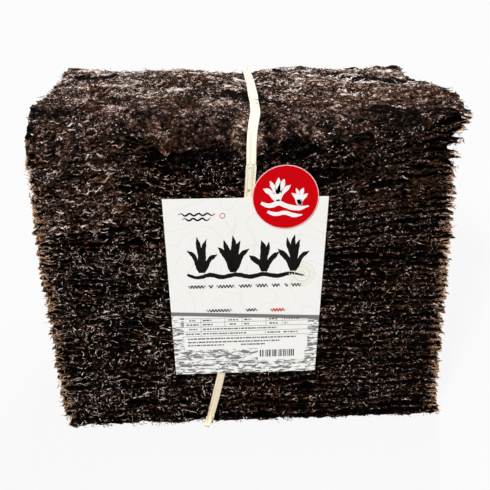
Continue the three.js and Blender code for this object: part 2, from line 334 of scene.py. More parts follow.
@dataclass
class PileShape:
    """The smooth shape of the pile that the layers follow, as the frame's solids do."""

    width: float = 270.0
    depth: float = 195.0
    height: float = 219.0
    layer_gap: float = 0.65
    left_edge: tuple = ((0, -130), (0.08, -133), (0.3, -135), (0.55, -138.5), (0.9, -139), (1, -141))
    right_edge: tuple = ((0, 134), (0.06, 130.5), (0.75, 129.5), (0.85, 127), (0.93, 131), (1, 135))
    inner_x: float = 101.25
    bulge_level: float = 0.9
    bulge: float = 6.0
    bulge_y: float = -40.0
    notch: float = 5.0
    notch_y: float = 45.0
    bulge_width: float = 38.0
    roll_depths: tuple = ((-140, 30), (-95, 17), (-45, 25), (30, 25), (75, 15), (118, 0))
    roll_length: float = 35.0
    roll_share: float = 0.4
    roll_power: float = 1.15
    tie_back_x: float = 6.4
    tie_front_x: float = 1.1
    dent_depth: float = 2.5
    dent_width: float = 26.0
    lift_height: float = 6.0
    lift_x: tuple = (80.0, 140.0)
    lift_share: float = 0.05
    lift_y: float = -45.0
    lift_width: float = 45.0
    sag_depth: float = 6.0
    sag_level: float = 0.9
    sag_spread: float = 0.04
    waves: tuple = ((0.7, 190, 260, 17), (0.6, 105, -170, -23), (0.4, -75, 120, 31))
    waves_start: float = 0.05
    probe_y: float = -23.5
    probe_radius: float = 1.0
    label_x: float = -5.6
    label_back_y: float = -98.7
    seed: int = 4
    shift_x: float = 0.0
    shift_y: float = 0.0
    levels: list[float] = field(default_factory=list)

    def __post_init__(self) -> None:
        """Reads the frame's offset and the layers' own levels from its solids."""
        low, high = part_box("paper_label")
        self.shift_x = (low[0] + high[0]) / 2 / MM - self.label_x
        self.shift_y = high[1] / MM - self.label_back_y
        layers = sorted(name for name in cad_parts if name.startswith("sheets_"))
        self.levels = [0.0] + [self._level_under(name) for name in layers[1:]] + [1.0]

    def _level_under(self, node: str) -> float:
        """Finds the level of the surface under a layer, halving the range until it fits.

        Args:
            node: The layer's solid, read at its lowest point over the pile's middle.

        Returns:
            The level, from 0 at the foot to 1 on top.
        """
        points = read_points(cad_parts[node]) - (self.shift_x, self.shift_y, 0)
        near = np.hypot(points[:, 0], points[:, 1] - self.probe_y) < self.probe_radius
        wanted = points[near, 2].min() - self.layer_gap / 2
        low, high = 0.0, 1.0
        for _ in range(40):
            middle = (low + high) / 2
            if float(self.surface(np.array(0.0), np.array(self.probe_y), middle)) < wanted:
                low = middle
            else:
                high = middle
        return (low + high) / 2

    def tie_x(self, y: np.ndarray) -> np.ndarray:
        """Where the tie runs over the top, at a depth."""
        away = np.clip((self.depth / 2 - y) / self.depth, 0, None)
        return self.tie_back_x + (self.tie_front_x - self.tie_back_x) * away ** 2

    def share_of_roll(self, level: float) -> float:
        """How much of the top sheet's roll a level takes part in."""
        return max(0.0, (level - 1 + self.roll_share) / self.roll_share) ** self.roll_power

    def surface(self, x: np.ndarray, y: np.ndarray, level: float) -> np.ndarray:
        """The height of the surface at a level.

        Args:
            x: Places along X, before the frame's offset.
            y: Places along Y.
            level: From 0 at the foot to 1 on top.

        Returns:
            The height at each place.
        """
        places, drops = zip(*self.roll_depths)
        reach = np.clip((self.roll_length - self.depth / 2 - y) / self.roll_length, 0, None)
        drop = np.interp(x, places, drops) * reach ** 2
        drop = drop + self.dent_depth * bell(x, self.tie_x(y), self.dent_width)
        corner = smooth_between(*self.lift_x, x) * bell(y, self.lift_y, self.lift_width)
        lift = self.lift_height * float(smooth_between(1 - self.lift_share, 1, np.array(level)))
        sag = self.sag_depth * float(bell(np.array(level), self.sag_level, self.sag_spread))
        height = level * self.height - drop * self.share_of_roll(level) + corner * (lift - sag)
        start = float(smooth_between(0, self.waves_start, np.array(level)))
        for tall, length_x, length_y, turn in self.waves:
            phase = 2 * math.pi * (x / length_x + y / length_y) + turn * level
            height = height + tall * np.sin(phase) * start
        return height

    def spread(self, x: np.ndarray, y: np.ndarray, level: float) -> np.ndarray:
        """Stretches the outer columns of a flat sheet to its layer's own side edges.

        Args:
            x: Places along X on the flat sheet.
            y: Places along Y.
            level: The sheet's level.

        Returns:
            The places along X in the pile.
        """
        left = np.interp(level, *zip(*self.left_edge))
        right = np.interp(level, *zip(*self.right_edge))
        stand = self.bulge * bell(y, self.bulge_y, self.bulge_width)
        stand = stand - self.notch * bell(y, self.notch_y, self.bulge_width)
        right = right + stand * float(smooth_between(self.bulge_level, 1, np.array(level)))
        outer = self.width / 2 - self.inner_x
        to_left = -self.inner_x + (x + self.inner_x) * (-left - self.inner_x) / outer
        to_right = self.inner_x + (x - self.inner_x) * (right - self.inner_x) / outer
        return np.where(x < -self.inner_x, to_left, np.where(x > self.inner_x, to_right, x))

    @staticmethod
    def each(shape: Callable, x: np.ndarray, y: np.ndarray, level: np.ndarray) -> np.ndarray:
        """Reads the surface or the spread where each place has a level of its own.

        Args:
            shape: The pile's surface or spread method.
            x: Places along X.
            y: Places along Y.
            level: Each place's level.

        Returns:
            The value at each place.
        """
        return np.array([float(shape(np.array(a), np.array(b), c)) for a, b, c in zip(x, y, level)])

    def placed(self, x: np.ndarray, y: np.ndarray, z: np.ndarray) -> np.ndarray:
        """The points at these places, moved by the frame's offset, one row each."""
        return np.stack([x + self.shift_x, y + self.shift_y, z], axis=1)

    def bunch(self, x: np.ndarray, y: np.ndarray, level: float | np.ndarray) -> np.ndarray:
        """Lets a sheet wander up or down, so that some lie close and others gape.

        Args:
            x: Places along X.
            y: Places along Y.
            level: The sheet's level, or one for each place.

        Returns:
            How far the sheet lies above its even place.
        """
        noise = Crumple(self.seed)
        shares = smooth_between(0, 0.03, level) * smooth_between(1, 0.985, level)
        height = self.height * level
        wander = 1.9 * noise.at(x / 38 + y / 31, height / 8)
        wander = wander + 1.7 * noise.at(x / 95 - y / 60, height / 16 + 40)
        wander = wander + 1.4 * noise.at(x / 14 + y / 17 + 55, height / 8 + 20)
        upper = 0.8 * smooth_between(0.76, 0.86, level)
        return wander * shares * (1 + upper)

    def room(self, x: np.ndarray, y: np.ndarray, level: float) -> np.ndarray:
        """Measures how much room a sheet has at each place.

        Args:
            x: Places along X.
            y: Places along Y.
            level: The sheet's level.

        Returns:
            The room as a share of the mean.
        """
        step = 0.01
        low, high = max(level - step, 0.0), min(level + step, 1.0)
        rise = self.surface(x, y, high) - self.surface(x, y, low)
        return np.clip(rise / (high - low) / self.height, 0.25, 1.0)


# --- The sheets ----------------------------------------------------------------------------


@dataclass
class SheetPairs:
    """Each layer of the pile as two thin crumpled sheets."""

    pile: PileShape
    cells: tuple = (18, 13)
    edge_cuts: int = 8
    rim: float = 8.0
    rim_steps: tuple = (1.7, 0.0)
    thickness: float = 0.36
    parted: float = 10.0
    floor_gap: float = 0.05
    cut_short: float = 14.0
    shares: tuple = (0.42, 0.60)
    tip_length: float = 1.7
    seed: int = 7

    def flat_blank(self) -> bpy.types.Object:
        """Models one flat sheet with a finely cut rim.

        Returns:
            The sheet as a closed shell, its upper face at height zero.
        """
        pile = self.pile
        bpy.ops.object.select_all(action="DESELECT")
        bpy.ops.mesh.primitive_grid_add(x_subdivisions=self.cells[0], y_subdivisions=self.cells[1], size=1)
        blank = bpy.context.object
        width, depth = pile.width - 2 * self.rim, pile.depth - 2 * self.rim
        bpy.ops.object.mode_set(mode="EDIT")
        bpy.ops.transform.resize(value=(width * MM, depth * MM, 1))
        bpy.ops.mesh.select_mode(type="EDGE")
        bpy.ops.mesh.select_all(action="DESELECT")
        bpy.ops.mesh.select_non_manifold()
        bpy.ops.mesh.subdivide(number_cuts=self.edge_cuts)
        bpy.ops.mesh.select_all(action="DESELECT")
        bpy.ops.mesh.select_non_manifold()
        for left in self.rim_steps:
            wider, deeper = pile.width - 2 * left, pile.depth - 2 * left
            bpy.ops.mesh.extrude_edges_move(TRANSFORM_OT_translate={"value": (0, 0, 0)})
            bpy.ops.transform.resize(value=(wider / width, deeper / depth, 1))
            width, depth = wider, deeper
        bpy.ops.mesh.select_all(action="SELECT")
        bpy.ops.mesh.quads_convert_to_tris(quad_method="BEAUTY", ngon_method="BEAUTY")
        bpy.ops.object.mode_set(mode="OBJECT")
        thicken(blank, self.thickness)
        return blank

    def pair_blank(self) -> bpy.types.Object:
        """Doubles the flat sheet.

        Returns:
            Both sheets as one object, the second one parted from the first and above it.
        """
        blank = self.flat_blank()
        bpy.ops.object.mode_set(mode="EDIT")
        bpy.ops.mesh.select_all(action="SELECT")
        bpy.ops.mesh.duplicate_move(TRANSFORM_OT_translate={"value": (0, 0, self.parted * MM)})
        bpy.ops.object.mode_set(mode="OBJECT")
        return blank

    def crumple(self, x: np.ndarray, y: np.ndarray, upper: np.ndarray, layer: int, which: int) -> tuple:
        """Shapes one sheet of a layer.

        Args:
            x: Places along X on the flat sheet.
            y: Places along Y.
            upper: Whether each point is on the upper face.
            layer: The layer's number from the foot, from 0.
            which: 0 for its lower sheet, 1 for its upper one.

        Returns:
            The points and the four channels of their attribute.
        """
        pile = self.pile
        number = 2 * layer + which
        rng = np.random.default_rng(self.seed * 1000 + number)
        low, high = pile.levels[layer], pile.levels[layer + 1]
        level = low + (high - low) * (self.shares[which] + rng.uniform(-0.05, 0.05))
        noise = Crumple(self.seed * 2000 + number)
        slow = Crumple(self.seed)

        in_x = pile.width / 2 - np.abs(x)
        in_y = pile.depth / 2 - np.abs(y)
        inside = np.minimum(in_x, in_y)
        near_side = np.clip(1 - in_x / self.rim, 0, 1)
        near_face = np.clip(1 - in_y / self.rim, 0, 1)
        calm = 1 - 0.6 * pile.share_of_roll(level)

        ragged_x = noise.waves(x, y, ((11, 0.9), (4.5, 0.9), (1.9, 0.9)))
        ragged_y = noise.waves(x, y, ((10, 0.5), (3.6, 0.7), (1.7, 0.8)), turn=0.6)
        stray_x, stray_y = rng.uniform(-1.3, 1.3), rng.uniform(-0.5, 0.5)
        stray_y += 0.7 * float(slow.at(number / 5, 3.0))
        new_x = pile.spread(x, y, level) + np.sign(x) * near_side * (ragged_x + 0.4)
        new_x = new_x + stray_x * smooth_between(60, 130, np.abs(x))
        new_y = y + np.sign(y) * near_face * calm * (ragged_y - 0.35)
        new_y = new_y + (stray_y * calm - np.sign(y) * 0.3) * smooth_between(60, 97, np.abs(y))
        drawn = self.cut_short * float(smooth_between(0.8, 0.98, np.array(level)))
        drawn = drawn * (0.6 + 0.9 * noise.at(x / 24, 3.0) + 0.4 * noise.at(x / 8, 8.0))
        drawn = drawn * (1 - 0.75 * bell(x, 1.0, 20)) * (1 - 0.6 * smooth_between(60, 110, x))
        new_y = new_y + np.clip(drawn, 0, None) * smooth_between(-45, -97, y)

        room = pile.room(x, new_y, level)
        edge = np.exp(-np.clip(inside, 0, None) / 5)
        relief = noise.waves(x, y, ((11, 0.7), (6.2, 0.85), (3.3, 0.8), (1.9, 0.4)), turn=0.3) * edge
        flare = np.clip(noise.at(x / 19, y / 19 + 31.7), 0.15, None) - 0.15
        relief = relief + flare * 2.2 * np.clip(1 - inside / 4, 0, 1) ** 1.5
        apart = slow.at(x / 26 + layer * 3.1, y / 40 + layer * 1.7)
        meet = (0.15 - 1.7 * np.clip(apart - 0.1, 0, None)) * (1 if which == 0 else -1)
        height = pile.surface(x, new_y, level) + (relief + meet + pile.bunch(x, y, level)) * room
        thick = self.thickness * (0.9 + 0.6 * noise.at(x / 5 + 9, y / 5)) * (0.6 + 0.4 * room)
        height = height + np.where(upper, 0.5, -0.5) * thick
        height = np.maximum(height, np.where(upper, thick, 0) + self.floor_gap)
        points = pile.placed(new_x, new_y, height)

        tip = np.clip(1 - inside / self.tip_length, 0, 1)
        # Painted light shining through the thin torn tips at the sides, shown as amber: more at the front
        # corners and on the right.
        backlit_fringe = tip * near_side * np.clip(0.4 + 1.3 * noise.at(x / 2.5 + 50, y / 2.5), 0, 1)
        backlit_fringe = np.clip(backlit_fringe * self.lit_through(y) * np.where(x > 0, 1.4, 1.0), 0, 1)
        tint = 0.35 + 0.2 * float(rng.uniform(-1, 1)) + 0.3 * noise.at(x / 24, y / 24 + 77)
        # Painted shade: the leaf darkens inwards from its torn edge, where the sheets above and below shade
        # it.
        depth = 0.05 + 0.4 * np.clip(inside / self.tip_length, 0, 1)
        # Painted highlights on the torn tips, in short flecks, and weaker on the front face.
        pale = tip * np.clip(0.15 + 1.5 * noise.at(x / 2.3 + 20, y / 2.3), 0, 1.1)
        pale = pale * np.clip(0.6 + 1.2 * slow.at(x / 30 + number * 5.3, y / 30), 0.08, 1)
        pale = pale * (1 - 0.35 * smooth_between(-80, -95, y))
        return points, np.stack([backlit_fringe, np.clip(tint, 0, 1), depth, pale], axis=1)

    @staticmethod
    def highlight_share(x: np.ndarray, y: np.ndarray) -> np.ndarray:
        """How strong the painted highlights on torn leaf are at each place: on the front weaker towards the
        right, and weaker at the back.
        """
        front = smooth_between(-80, -95, y)
        return 1.15 - 0.45 * smooth_between(-100, 40, x) * front - 0.3 * smooth_between(80, 95, y)

    @staticmethod
    def lit_through(y: np.ndarray) -> np.ndarray:
        """How much painted light shining through the side edges shows: most of all at the front corners."""
        return 0.22 + 0.78 * smooth_between(-62, -86, y)

    def build(self, material: bpy.types.Material) -> None:
        """Makes and dresses one piece for each layer, but the topmost one's upper sheet.

        Args:
            material: The seaweed material.
        """
        blank = self.pair_blank()
        flat = read_points(blank)
        upper_sheet = flat[:, 2] > self.parted / 2
        upper_face = (flat[:, 2] - np.where(upper_sheet, self.parted, 0)) > -self.thickness / 2
        layers = len(self.pile.levels) - 1
        for layer in range(layers):
            piece = blank.copy()
            piece.data = blank.data.copy()
            piece.name = piece.data.name = f"sheet_pair_{layer + 1:02d}"
            bpy.context.scene.collection.objects.link(piece)
            points = np.empty_like(flat)
            channels = np.empty((len(flat), 4))
            for which, chosen in ((0, ~upper_sheet), (1, upper_sheet)):
                points[chosen], channels[chosen] = self.crumple(
                    flat[chosen, 0], flat[chosen, 1], upper_face[chosen], layer, which)
            write_points(piece, points)
            write_attribute(piece, "leaf", channels)
            write_attribute(piece, "matted", np.zeros_like(channels))
            if layer == layers - 1:
                TopSheet(self.pile, self).join_over(piece, ~upper_sheet)
            dress(piece, material, Slot.NORI, f"sheets_{layer + 1:02d}")
        bpy.data.objects.remove(blank)


@dataclass
class TopSheet:
    """The topmost sheet, whose whole crumpled face shows."""

    pile: PileShape
    pairs: SheetPairs
    cells: tuple = (240, 170)
    level: float = 0.9985
    rim_blend: float = 7.0
    half_thickness: float = 0.5
    pit_depth: float = 2.4
    tie_half_width: float = 6.0
    seed: int = 23

    def relief(self, x: np.ndarray, y: np.ndarray) -> tuple:
        """The crumpled relief of the top face.

        Args:
            x: Places along X.
            y: Places along Y.

        Returns:
            The height, the painted shade in pits and low places and the painted highlight on raised strands,
            the last two from 0 to 1.
        """
        noise = Crumple(self.seed)
        other = Crumple(self.seed + 1)
        bend_x = x + noise.waves(x, y, ((16, 4.0), (6, 1.5)))
        bend_y = y + other.waves(x, y, ((16, 4.0), (6, 1.5)))
        strands = (1 - np.abs(noise.at(bend_x / 8, bend_y / 5.5))) ** 6 * 1.9
        strands = np.maximum(strands, (1 - np.abs(other.at(bend_x / 5 + 40, bend_y / 8))) ** 6 * 1.6)
        fine = noise.waves(x, y, ((3.4, 0.4), (1.9, 0.2)), turn=0.5)
        pits = smooth_between(0.36, 0.6, other.waves(x, y, ((9.0, 0.85), (3.6, 0.3)), turn=1.1))
        slow = other.waves(x, y, ((34, 1.0), (15, 0.8)), turn=0.2)
        rolled = smooth_between(-55, -72, y) * (0.15 + 0.85 * bell(x, -10.0, 62))
        fibres = noise.waves(x, y, ((16, 0.5), (7, 0.4)), turn=0.2) + noise.at(x / 11 + 70, y / 2.4) * 0.55
        height = slow + strands + fine - self.pit_depth * pits
        height = height * (1 - 0.55 * rolled) + fibres * rolled
        pressed = bell(x, self.pile.tie_x(y), self.tie_half_width)
        # Painted shade in the low places between the strands.
        hollow_shade = smooth_between(0.5, -0.5, strands + fine - 0.3) * (0.55 - 0.2 * rolled)
        # Painted highlights on the raised strands, in clusters, fewer on the rolled front and stronger
        # towards the back, where light from behind falls.
        ridge_highlights = smooth_between(0.35, 1.5, strands + fine) * (1 - 0.75 * rolled)
        ridge_highlights = ridge_highlights * np.clip(0.75 + 0.6 * other.at(x / 4 + 30, y / 4), 0, 1) * self.cluster(x, y)
        ridge_highlights = ridge_highlights * (0.27 + 1.0 * smooth_between(-75, 45, y))
        # All painted shade: pits, low places, and a little more towards the rolled front.
        deep = pits * (1 - 0.6 * rolled) + 1.15 * hollow_shade + 0.15 * smooth_between(-56, -80, y)
        return height * (1 - 0.9 * pressed) - 0.4, np.clip(deep, 0, 1), ridge_highlights

    def cluster(self, x: np.ndarray, y: np.ndarray) -> np.ndarray:
        """How strong the painted highlights on the strands are at each place: they come in clusters."""
        noise = Crumple(self.seed + 2)
        return np.clip(0.6 + noise.waves(x, y, ((21, 0.8), (9, 0.5))), 0.25, 1.3)

    def heights(self, x: np.ndarray, y: np.ndarray) -> np.ndarray:
        """The height of the sheet's upper face at each place."""
        return self.pile.surface(x, y, self.level) + self.relief(x, y)[0]

    def looks(self, x: np.ndarray, y: np.ndarray, crumpled: np.ndarray, edge: np.ndarray) -> tuple:
        """Works out the attributes that the seaweed's colours follow.

        Args:
            x: Places along X on the flat sheet.
            y: Places along Y.
            crumpled: The four channels of a plain crumpled sheet, kept round the rim.
            edge: From 0 on the rim to 1 where the fine relief is whole.

        Returns:
            The four channels of the leaf attribute and those of the matted one.
        """
        _, pits, ridge_highlights = self.relief(x, y)
        leaf = crumpled.copy()
        near_left = np.clip((x + self.pile.width / 2) / 6, 0, 1)
        # The top sheet's torn tips get less of the painted light shining through, a little more at the very
        # left edge.
        leaf[:, 0] *= (0.55 - 0.2 * near_left) * np.clip(0.4 + 1.3 * Crumple(31).at(x / 2, y / 2), 0, 1)
        leaf[:, 1] = np.clip(0.45 + 0.5 * Crumple(9).waves(x, y, ((14, 0.6), (5, 0.8)), turn=0.7), 0, 1)
        leaf[:, 1] *= 0.35 + 0.65 * smooth_between(-75, -35, y)
        # The painted shade of pits and low places.
        leaf[:, 2] = 0.36 * pits
        # Painted highlights: those of the strands, a paler wash over the whole top face, and a little more
        # over the front middle, where the top is pressed down.
        patchy = np.clip(1 + Crumple(14).waves(x, y, ((20, 0.6), (8, 0.6))), 0, 2.2)
        mat = (0.17 - 0.04 * smooth_between(-60, 20, y)) * patchy * edge
        pressed = smooth_between(-52, -66, y) * bell(x, 0.0, 72) * (1 - np.clip(1.5 * pits, 0, 1))
        pale = ridge_highlights * (1 - 0.6 * pressed) + mat + 0.12 * pressed
        leaf[:, 3] = np.maximum(leaf[:, 3] * (1 - edge), pale)
        matted = np.repeat((0.45 + 0.55 * pressed)[:, None], 4, axis=1)
        matted[:, 3] = 0.35 + 0.7 * smooth_between(-70, 20, y)
        return leaf, matted

    def join_over(self, piece: bpy.types.Object, kept: np.ndarray) -> None:
        """Puts the fine sheet in the place of a pair's upper sheet.

        Args:
            piece: The topmost pair.
            kept: Which of its points belong to the lower sheet.
        """
        pile = self.pile
        select_only(piece)
        bpy.ops.object.mode_set(mode="EDIT")
        bpy.ops.mesh.select_mode(type="VERT")
        bpy.ops.mesh.select_all(action="DESELECT")
        bpy.ops.object.mode_set(mode="OBJECT")
        piece.data.vertices.foreach_set("select", ~kept)
        bpy.ops.object.mode_set(mode="EDIT")
        bpy.ops.mesh.delete(type="VERT")
        bpy.ops.object.mode_set(mode="OBJECT")
        bpy.ops.object.select_all(action="DESELECT")
        bpy.ops.mesh.primitive_grid_add(x_subdivisions=self.cells[0], y_subdivisions=self.cells[1], size=1)
        fine = bpy.context.object
        fine.scale = (pile.width * MM, pile.depth * MM, 1)
        bpy.ops.object.transform_apply(location=False, rotation=False, scale=True)
        thicken(fine, self.pairs.thickness)
        flat = read_points(fine)
        x, y = flat[:, 0], flat[:, 1]
        upper = flat[:, 2] > -self.pairs.thickness / 2
        points, crumpled = self.pairs.crumple(x, y, upper, len(pile.levels) - 2, 1)
        inside = np.minimum(pile.width / 2 - np.abs(x), pile.depth / 2 - np.abs(y))
        edge = np.clip(inside / self.rim_blend, 0, 1)
        face = pile.surface(x, points[:, 1] - pile.shift_y, self.level) + self.relief(x, y)[0]
        face = face - np.where(upper, 0, self.half_thickness)
        points[:, 2] = points[:, 2] * (1 - edge) + face * edge
        write_points(fine, points)
        leaf, matted = self.looks(x, y, crumpled, edge)
        write_attribute(fine, "leaf", leaf)
        write_attribute(fine, "matted", matted)
        select_only(piece)
        fine.select_set(True)
        bpy.ops.object.join()


# --- Torn shreds ---------------------------------------------------------------------------


@dataclass
class Shreds:
    """Small torn and curled strips of seaweed, joined to one piece for each place."""

    pile: PileShape
    kind: str = "shreds"
    stations: int = 4
    wiggle: float = 0.05
    width_range: tuple = (0.35, 1.0)
    length_range: tuple = (1.2, 5.5)
    yaw_spread: float = 0.8
    pitch_spread: float = 0.45
    scatter: float = 0.13
    clump: float = 0.0
    # How strong the strips' painted highlights may be.
    pale: float = 0.8
    first_flap: int = 34
    crowded_from: tuple = (36, 42)
    stands_out: float = 1.6
    calm: float = 0.9
    lowest: float = 0.03
    label_half: tuple = (58.0, 66.0)
    label_heights: tuple = (38.0, 174.0)
    sticker_top: float = 197.0
    tie_clear: tuple = (-2.0, 13.0)
    seed: int = 61

    def strips(self, rng: np.random.Generator, middle: np.ndarray, ahead: np.ndarray, aside: np.ndarray,
               length: np.ndarray, width: np.ndarray, curl: np.ndarray, twist: np.ndarray) -> tuple:
        """Shapes closed strips, each of several stations of three corners.

        Args:
            rng: The source of small random changes.
            middle: Each strip's middle.
            ahead: The unit direction that it runs in.
            aside: A unit direction across it.
            length: Its length.
            width: Its greatest width.
            curl: How far its ends bend out of line, as a share of its length.
            twist: How far it twists from end to end, in radians.

        Returns:
            The points and the faces.
        """
        count = len(middle)
        up = np.cross(ahead, aside)
        points = np.empty((count, self.stations, 3, 3))
        tapers = np.interp(np.linspace(0, 1, self.stations), (0, 0.3, 0.7, 1), (0.35, 1.0, 0.85, 0.25))
        wag = rng.uniform(0, 2 * math.pi, count)
        for station in range(self.stations):
            share = station / (self.stations - 1) - 0.5
            angle = (twist * share)[:, None]
            across = aside * np.cos(angle) + up * np.sin(angle)
            out = up * np.cos(angle) - aside * np.sin(angle)
            bow = curl * length * (4 * share ** 2 - 0.4)
            centre = middle + ahead * (length * share)[:, None] + up * bow[:, None]
            swing = np.sin(wag + station * 1.9) * self.wiggle * length
            centre = centre + (aside * 0.8 + up * 0.6) * swing[:, None]
            half = (width / 2 * tapers[station] * rng.uniform(0.7, 1.3, count))[:, None]
            thick = rng.uniform(0.08, 0.15, count)[:, None]
            for corner, (side, lift) in enumerate(((-1, -1), (1, -1), (0.1, 1.2))):
                points[:, station, corner] = centre + across * half * side + out * thick * lift
        sides = []
        for station in range(self.stations - 1):
            for corner in range(3):
                here, beside = 3 * station + corner, 3 * station + (corner + 1) % 3
                sides.append((here, beside, beside + 3, here + 3))
        last = 3 * (self.stations - 1)
        ends = [(2, 1, 0), (last, last + 1, last + 2)]
        starts = np.arange(count)[:, None, None] * (3 * self.stations)
        points[..., 2] = np.maximum(points[..., 2], self.lowest)
        faces = (np.array(sides)[None] + starts).reshape(-1, 4).tolist()
        return points.reshape(-1, 3), faces + (np.array(ends)[None] + starts).reshape(-1, 3).tolist()

    @staticmethod
    def turned(ahead: np.ndarray, roll: np.ndarray) -> np.ndarray:
        """Finds each strip's direction across.

        Args:
            ahead: The unit direction that it runs in.
            roll: How far it is turned about that, in radians.

        Returns:
            A unit direction across each strip, level where roll is zero.
        """
        level = unit(np.cross(np.array([0.0, 0.0, 1.0]), ahead))
        upright = np.cross(ahead, level)
        return level * np.cos(roll)[:, None] + upright * np.sin(roll)[:, None]

    def build_edge(self, side: Side, count: int, material: bpy.types.Material) -> None:
        """Sets shreds along the sheet edges of one upright side.

        Args:
            side: The side of the pile.
            count: How many shreds.
            material: The seaweed material.
        """
        pile = self.pile
        rng = np.random.default_rng(self.seed + list(Side).index(side))
        out_x, out_y = side.value
        lies_in_x = out_y != 0
        half = (pile.width if lies_in_x else pile.depth) / 2
        place = rng.uniform(-half, half, count)
        layers = len(pile.levels) - 1
        layer = rng.integers(0, layers, count)
        crowd = Crumple(self.seed + 40).at(place / 8, layer / 1.6)
        upper = smooth_between(*self.crowded_from, layer) * (side is Side.FRONT)
        kept = rng.uniform(0, 1, count) > np.maximum(
            self.clump * np.clip(0.45 - 2.8 * crowd + 0.6 * upper, 0, 0.93), 0.5 * upper)
        place, layer = place[kept], layer[kept]
        count = len(place)
        x = place if lies_in_x else np.full(count, out_x * pile.width / 2)
        y = np.full(count, out_y * pile.depth / 2) if lies_in_x else place
        # The shreds scatter further from their sheets where the painted highlights are stronger.
        share = 0.51 + rng.normal(0, self.scatter, count) * SheetPairs.highlight_share(x, y) ** 2
        levels = np.array(pile.levels)
        level = np.clip(levels[layer] + (levels[layer + 1] - levels[layer]) * share, 0.004, 0.997)
        wide = pile.each(pile.spread, x, y, level)
        high = pile.each(pile.surface, x, y, level) + pile.bunch(x, y, level)
        stand = rng.uniform(-1.8, 0.5, count) if lies_in_x else rng.uniform(-1.5, self.stands_out, count)
        low, top = self.label_heights
        beside = np.abs(x - pile.label_x) < self.label_half[0]
        covered = (side is Side.FRONT) & beside & (high > low) & (high < top)
        stand = np.where(covered, np.minimum(stand, -0.4), stand)
        middle = pile.placed(wide + out_x * stand, y + out_y * stand, np.maximum(high, 1.2))

        yaw = rng.normal(0, self.yaw_spread, count)
        pitch = rng.normal(0, self.pitch_spread, count) * np.where(layer > layers - 3, 0.35, 1.0)
        yaw = np.where(covered, yaw * 0.2, yaw)
        run = np.array([abs(out_y), abs(out_x), 0.0])
        face = np.array([out_x, out_y, 0.0])
        ahead = (run * np.cos(yaw)[:, None] + face * np.sin(yaw)[:, None]) * np.cos(pitch)[:, None]
        ahead[:, 2] = np.sin(pitch)
        aside = -self.turned(ahead, rng.uniform(0, 2 * math.pi, count))
        shortest, longest = self.length_range
        length = shortest + (longest - shortest) * rng.uniform(0, 1, count) ** 1.6
        length = np.where(covered, np.minimum(length, 4), length)
        width = rng.uniform(*self.width_range, count)
        curl = rng.uniform(-0.25, 0.25, count)
        twist = rng.uniform(-1.6, 1.6, count)
        points, faces = self.strips(rng, middle, ahead, aside, length, width, curl, twist)
        piece = mesh_object(f"edge_{self.kind}_{side.name.lower()}", points, faces)
        # Amber is painted light shining through the thin shreds, near the side corners and most at the front;
        # the golden ones by the right front corner near the top get the most.
        amber = rng.uniform(0, 1, count) ** 1.2
        if lies_in_x:
            amber = amber * smooth_between(pile.width / 2 - 10, pile.width / 2 - 2, np.abs(place))
        amber = amber * SheetPairs.lit_through(y)
        golden = (x > 124) & (y < -60) & (np.abs(high - 197) < 5)
        amber = np.where(golden, rng.uniform(0.5, 1.6, count), amber)
        self.colour(piece, material, rng, amber, SheetPairs.highlight_share(x, y))

    def build_top(self, count: int, top: TopSheet, material: bpy.types.Material) -> None:
        """Lays strands of torn leaf on the top sheet.

        Args:
            count: How many strands.
            top: The top sheet that carries them.
            material: The seaweed material.
        """
        pile = self.pile
        rng = np.random.default_rng(self.seed + 9)
        x = rng.uniform(-132, 132, count)
        y = rng.uniform(-88, 85, count)
        free = np.abs(x - pile.tie_x(y)) > 6
        rare = rng.random(count) < np.where(y < -62, 0.35, 1.0)
        x, y = x[free & rare], y[free & rare]
        count = len(x)
        length = np.minimum(rng.gamma(2.2, 2.3, count) + 2.2, 16)
        yaw = rng.uniform(0, math.pi, count)
        step = 1.5
        slope_x = (top.heights(x + step, y) - top.heights(x - step, y)) / (2 * step)
        slope_y = (top.heights(x, y + step) - top.heights(x, y - step)) / (2 * step)
        slope = np.cos(yaw) * slope_x + np.sin(yaw) * slope_y
        ahead = np.stack([np.cos(yaw), np.sin(yaw), 0.6 * slope], axis=1)
        ahead[:, 2] += rng.normal(0, 0.07, count)
        ahead = unit(ahead)
        aside = self.turned(ahead, rng.normal(0, 0.55, count))
        high = top.heights(x, y) + rng.uniform(0.0, 0.7, count)
        middle = pile.placed(pile.spread(x, y, 1.0), y, high)
        width = rng.uniform(0.3, 0.75, count)
        curl = rng.uniform(-0.1, 0.14, count)
        twist = rng.uniform(-1.2, 1.2, count)
        points, faces = self.strips(rng, middle, ahead, aside, length, width, curl, twist)
        piece = mesh_object("top_shreds", points, faces)
        # Painted highlights on the strands, in clusters and stronger towards the back of the top.
        bright = (0.2 + 0.9 * smooth_between(-75, 20, y)) * top.cluster(x, y)
        self.colour(piece, material, rng, rng.uniform(0, 0.02, count), bright)

    def build_flaps(self, count: int, material: bpy.types.Material) -> None:
        """Sets larger torn flaps over the rolled front edge, most of them at its left corner.

        Args:
            count: How many flaps.
            material: The seaweed material.
        """
        pile = self.pile
        rng = np.random.default_rng(self.seed + 17)
        corner = rng.random(count) < 0.35
        x = np.where(corner, rng.uniform(-131, -88, count), rng.uniform(-131, 126, count))
        tie_x, clear = self.tie_clear
        free = np.abs(x - tie_x) > clear
        x, corner = x[free], corner[free]
        count = len(x)
        rolled = rng.random(count) < 0.3
        layer = rng.integers(self.first_flap, len(pile.levels) - 1, count)
        levels = np.array(pile.levels)
        share = rng.choice((0.42, 0.6), count)
        level = levels[layer] + (levels[layer + 1] - levels[layer]) * share
        level = np.where(rolled, 0.995, level)
        y = np.where(rolled, rng.uniform(-94, -74, count), rng.uniform(-98.0, -93, count))

        def lies_at(x: np.ndarray) -> np.ndarray:
            """Tells how high the wandering sheets lie.

            Args:
                x: Places along X.

            Returns:
                Their heights.
            """
            return pile.each(pile.surface, x, y, level) + pile.bunch(x, y, level) * 0.8

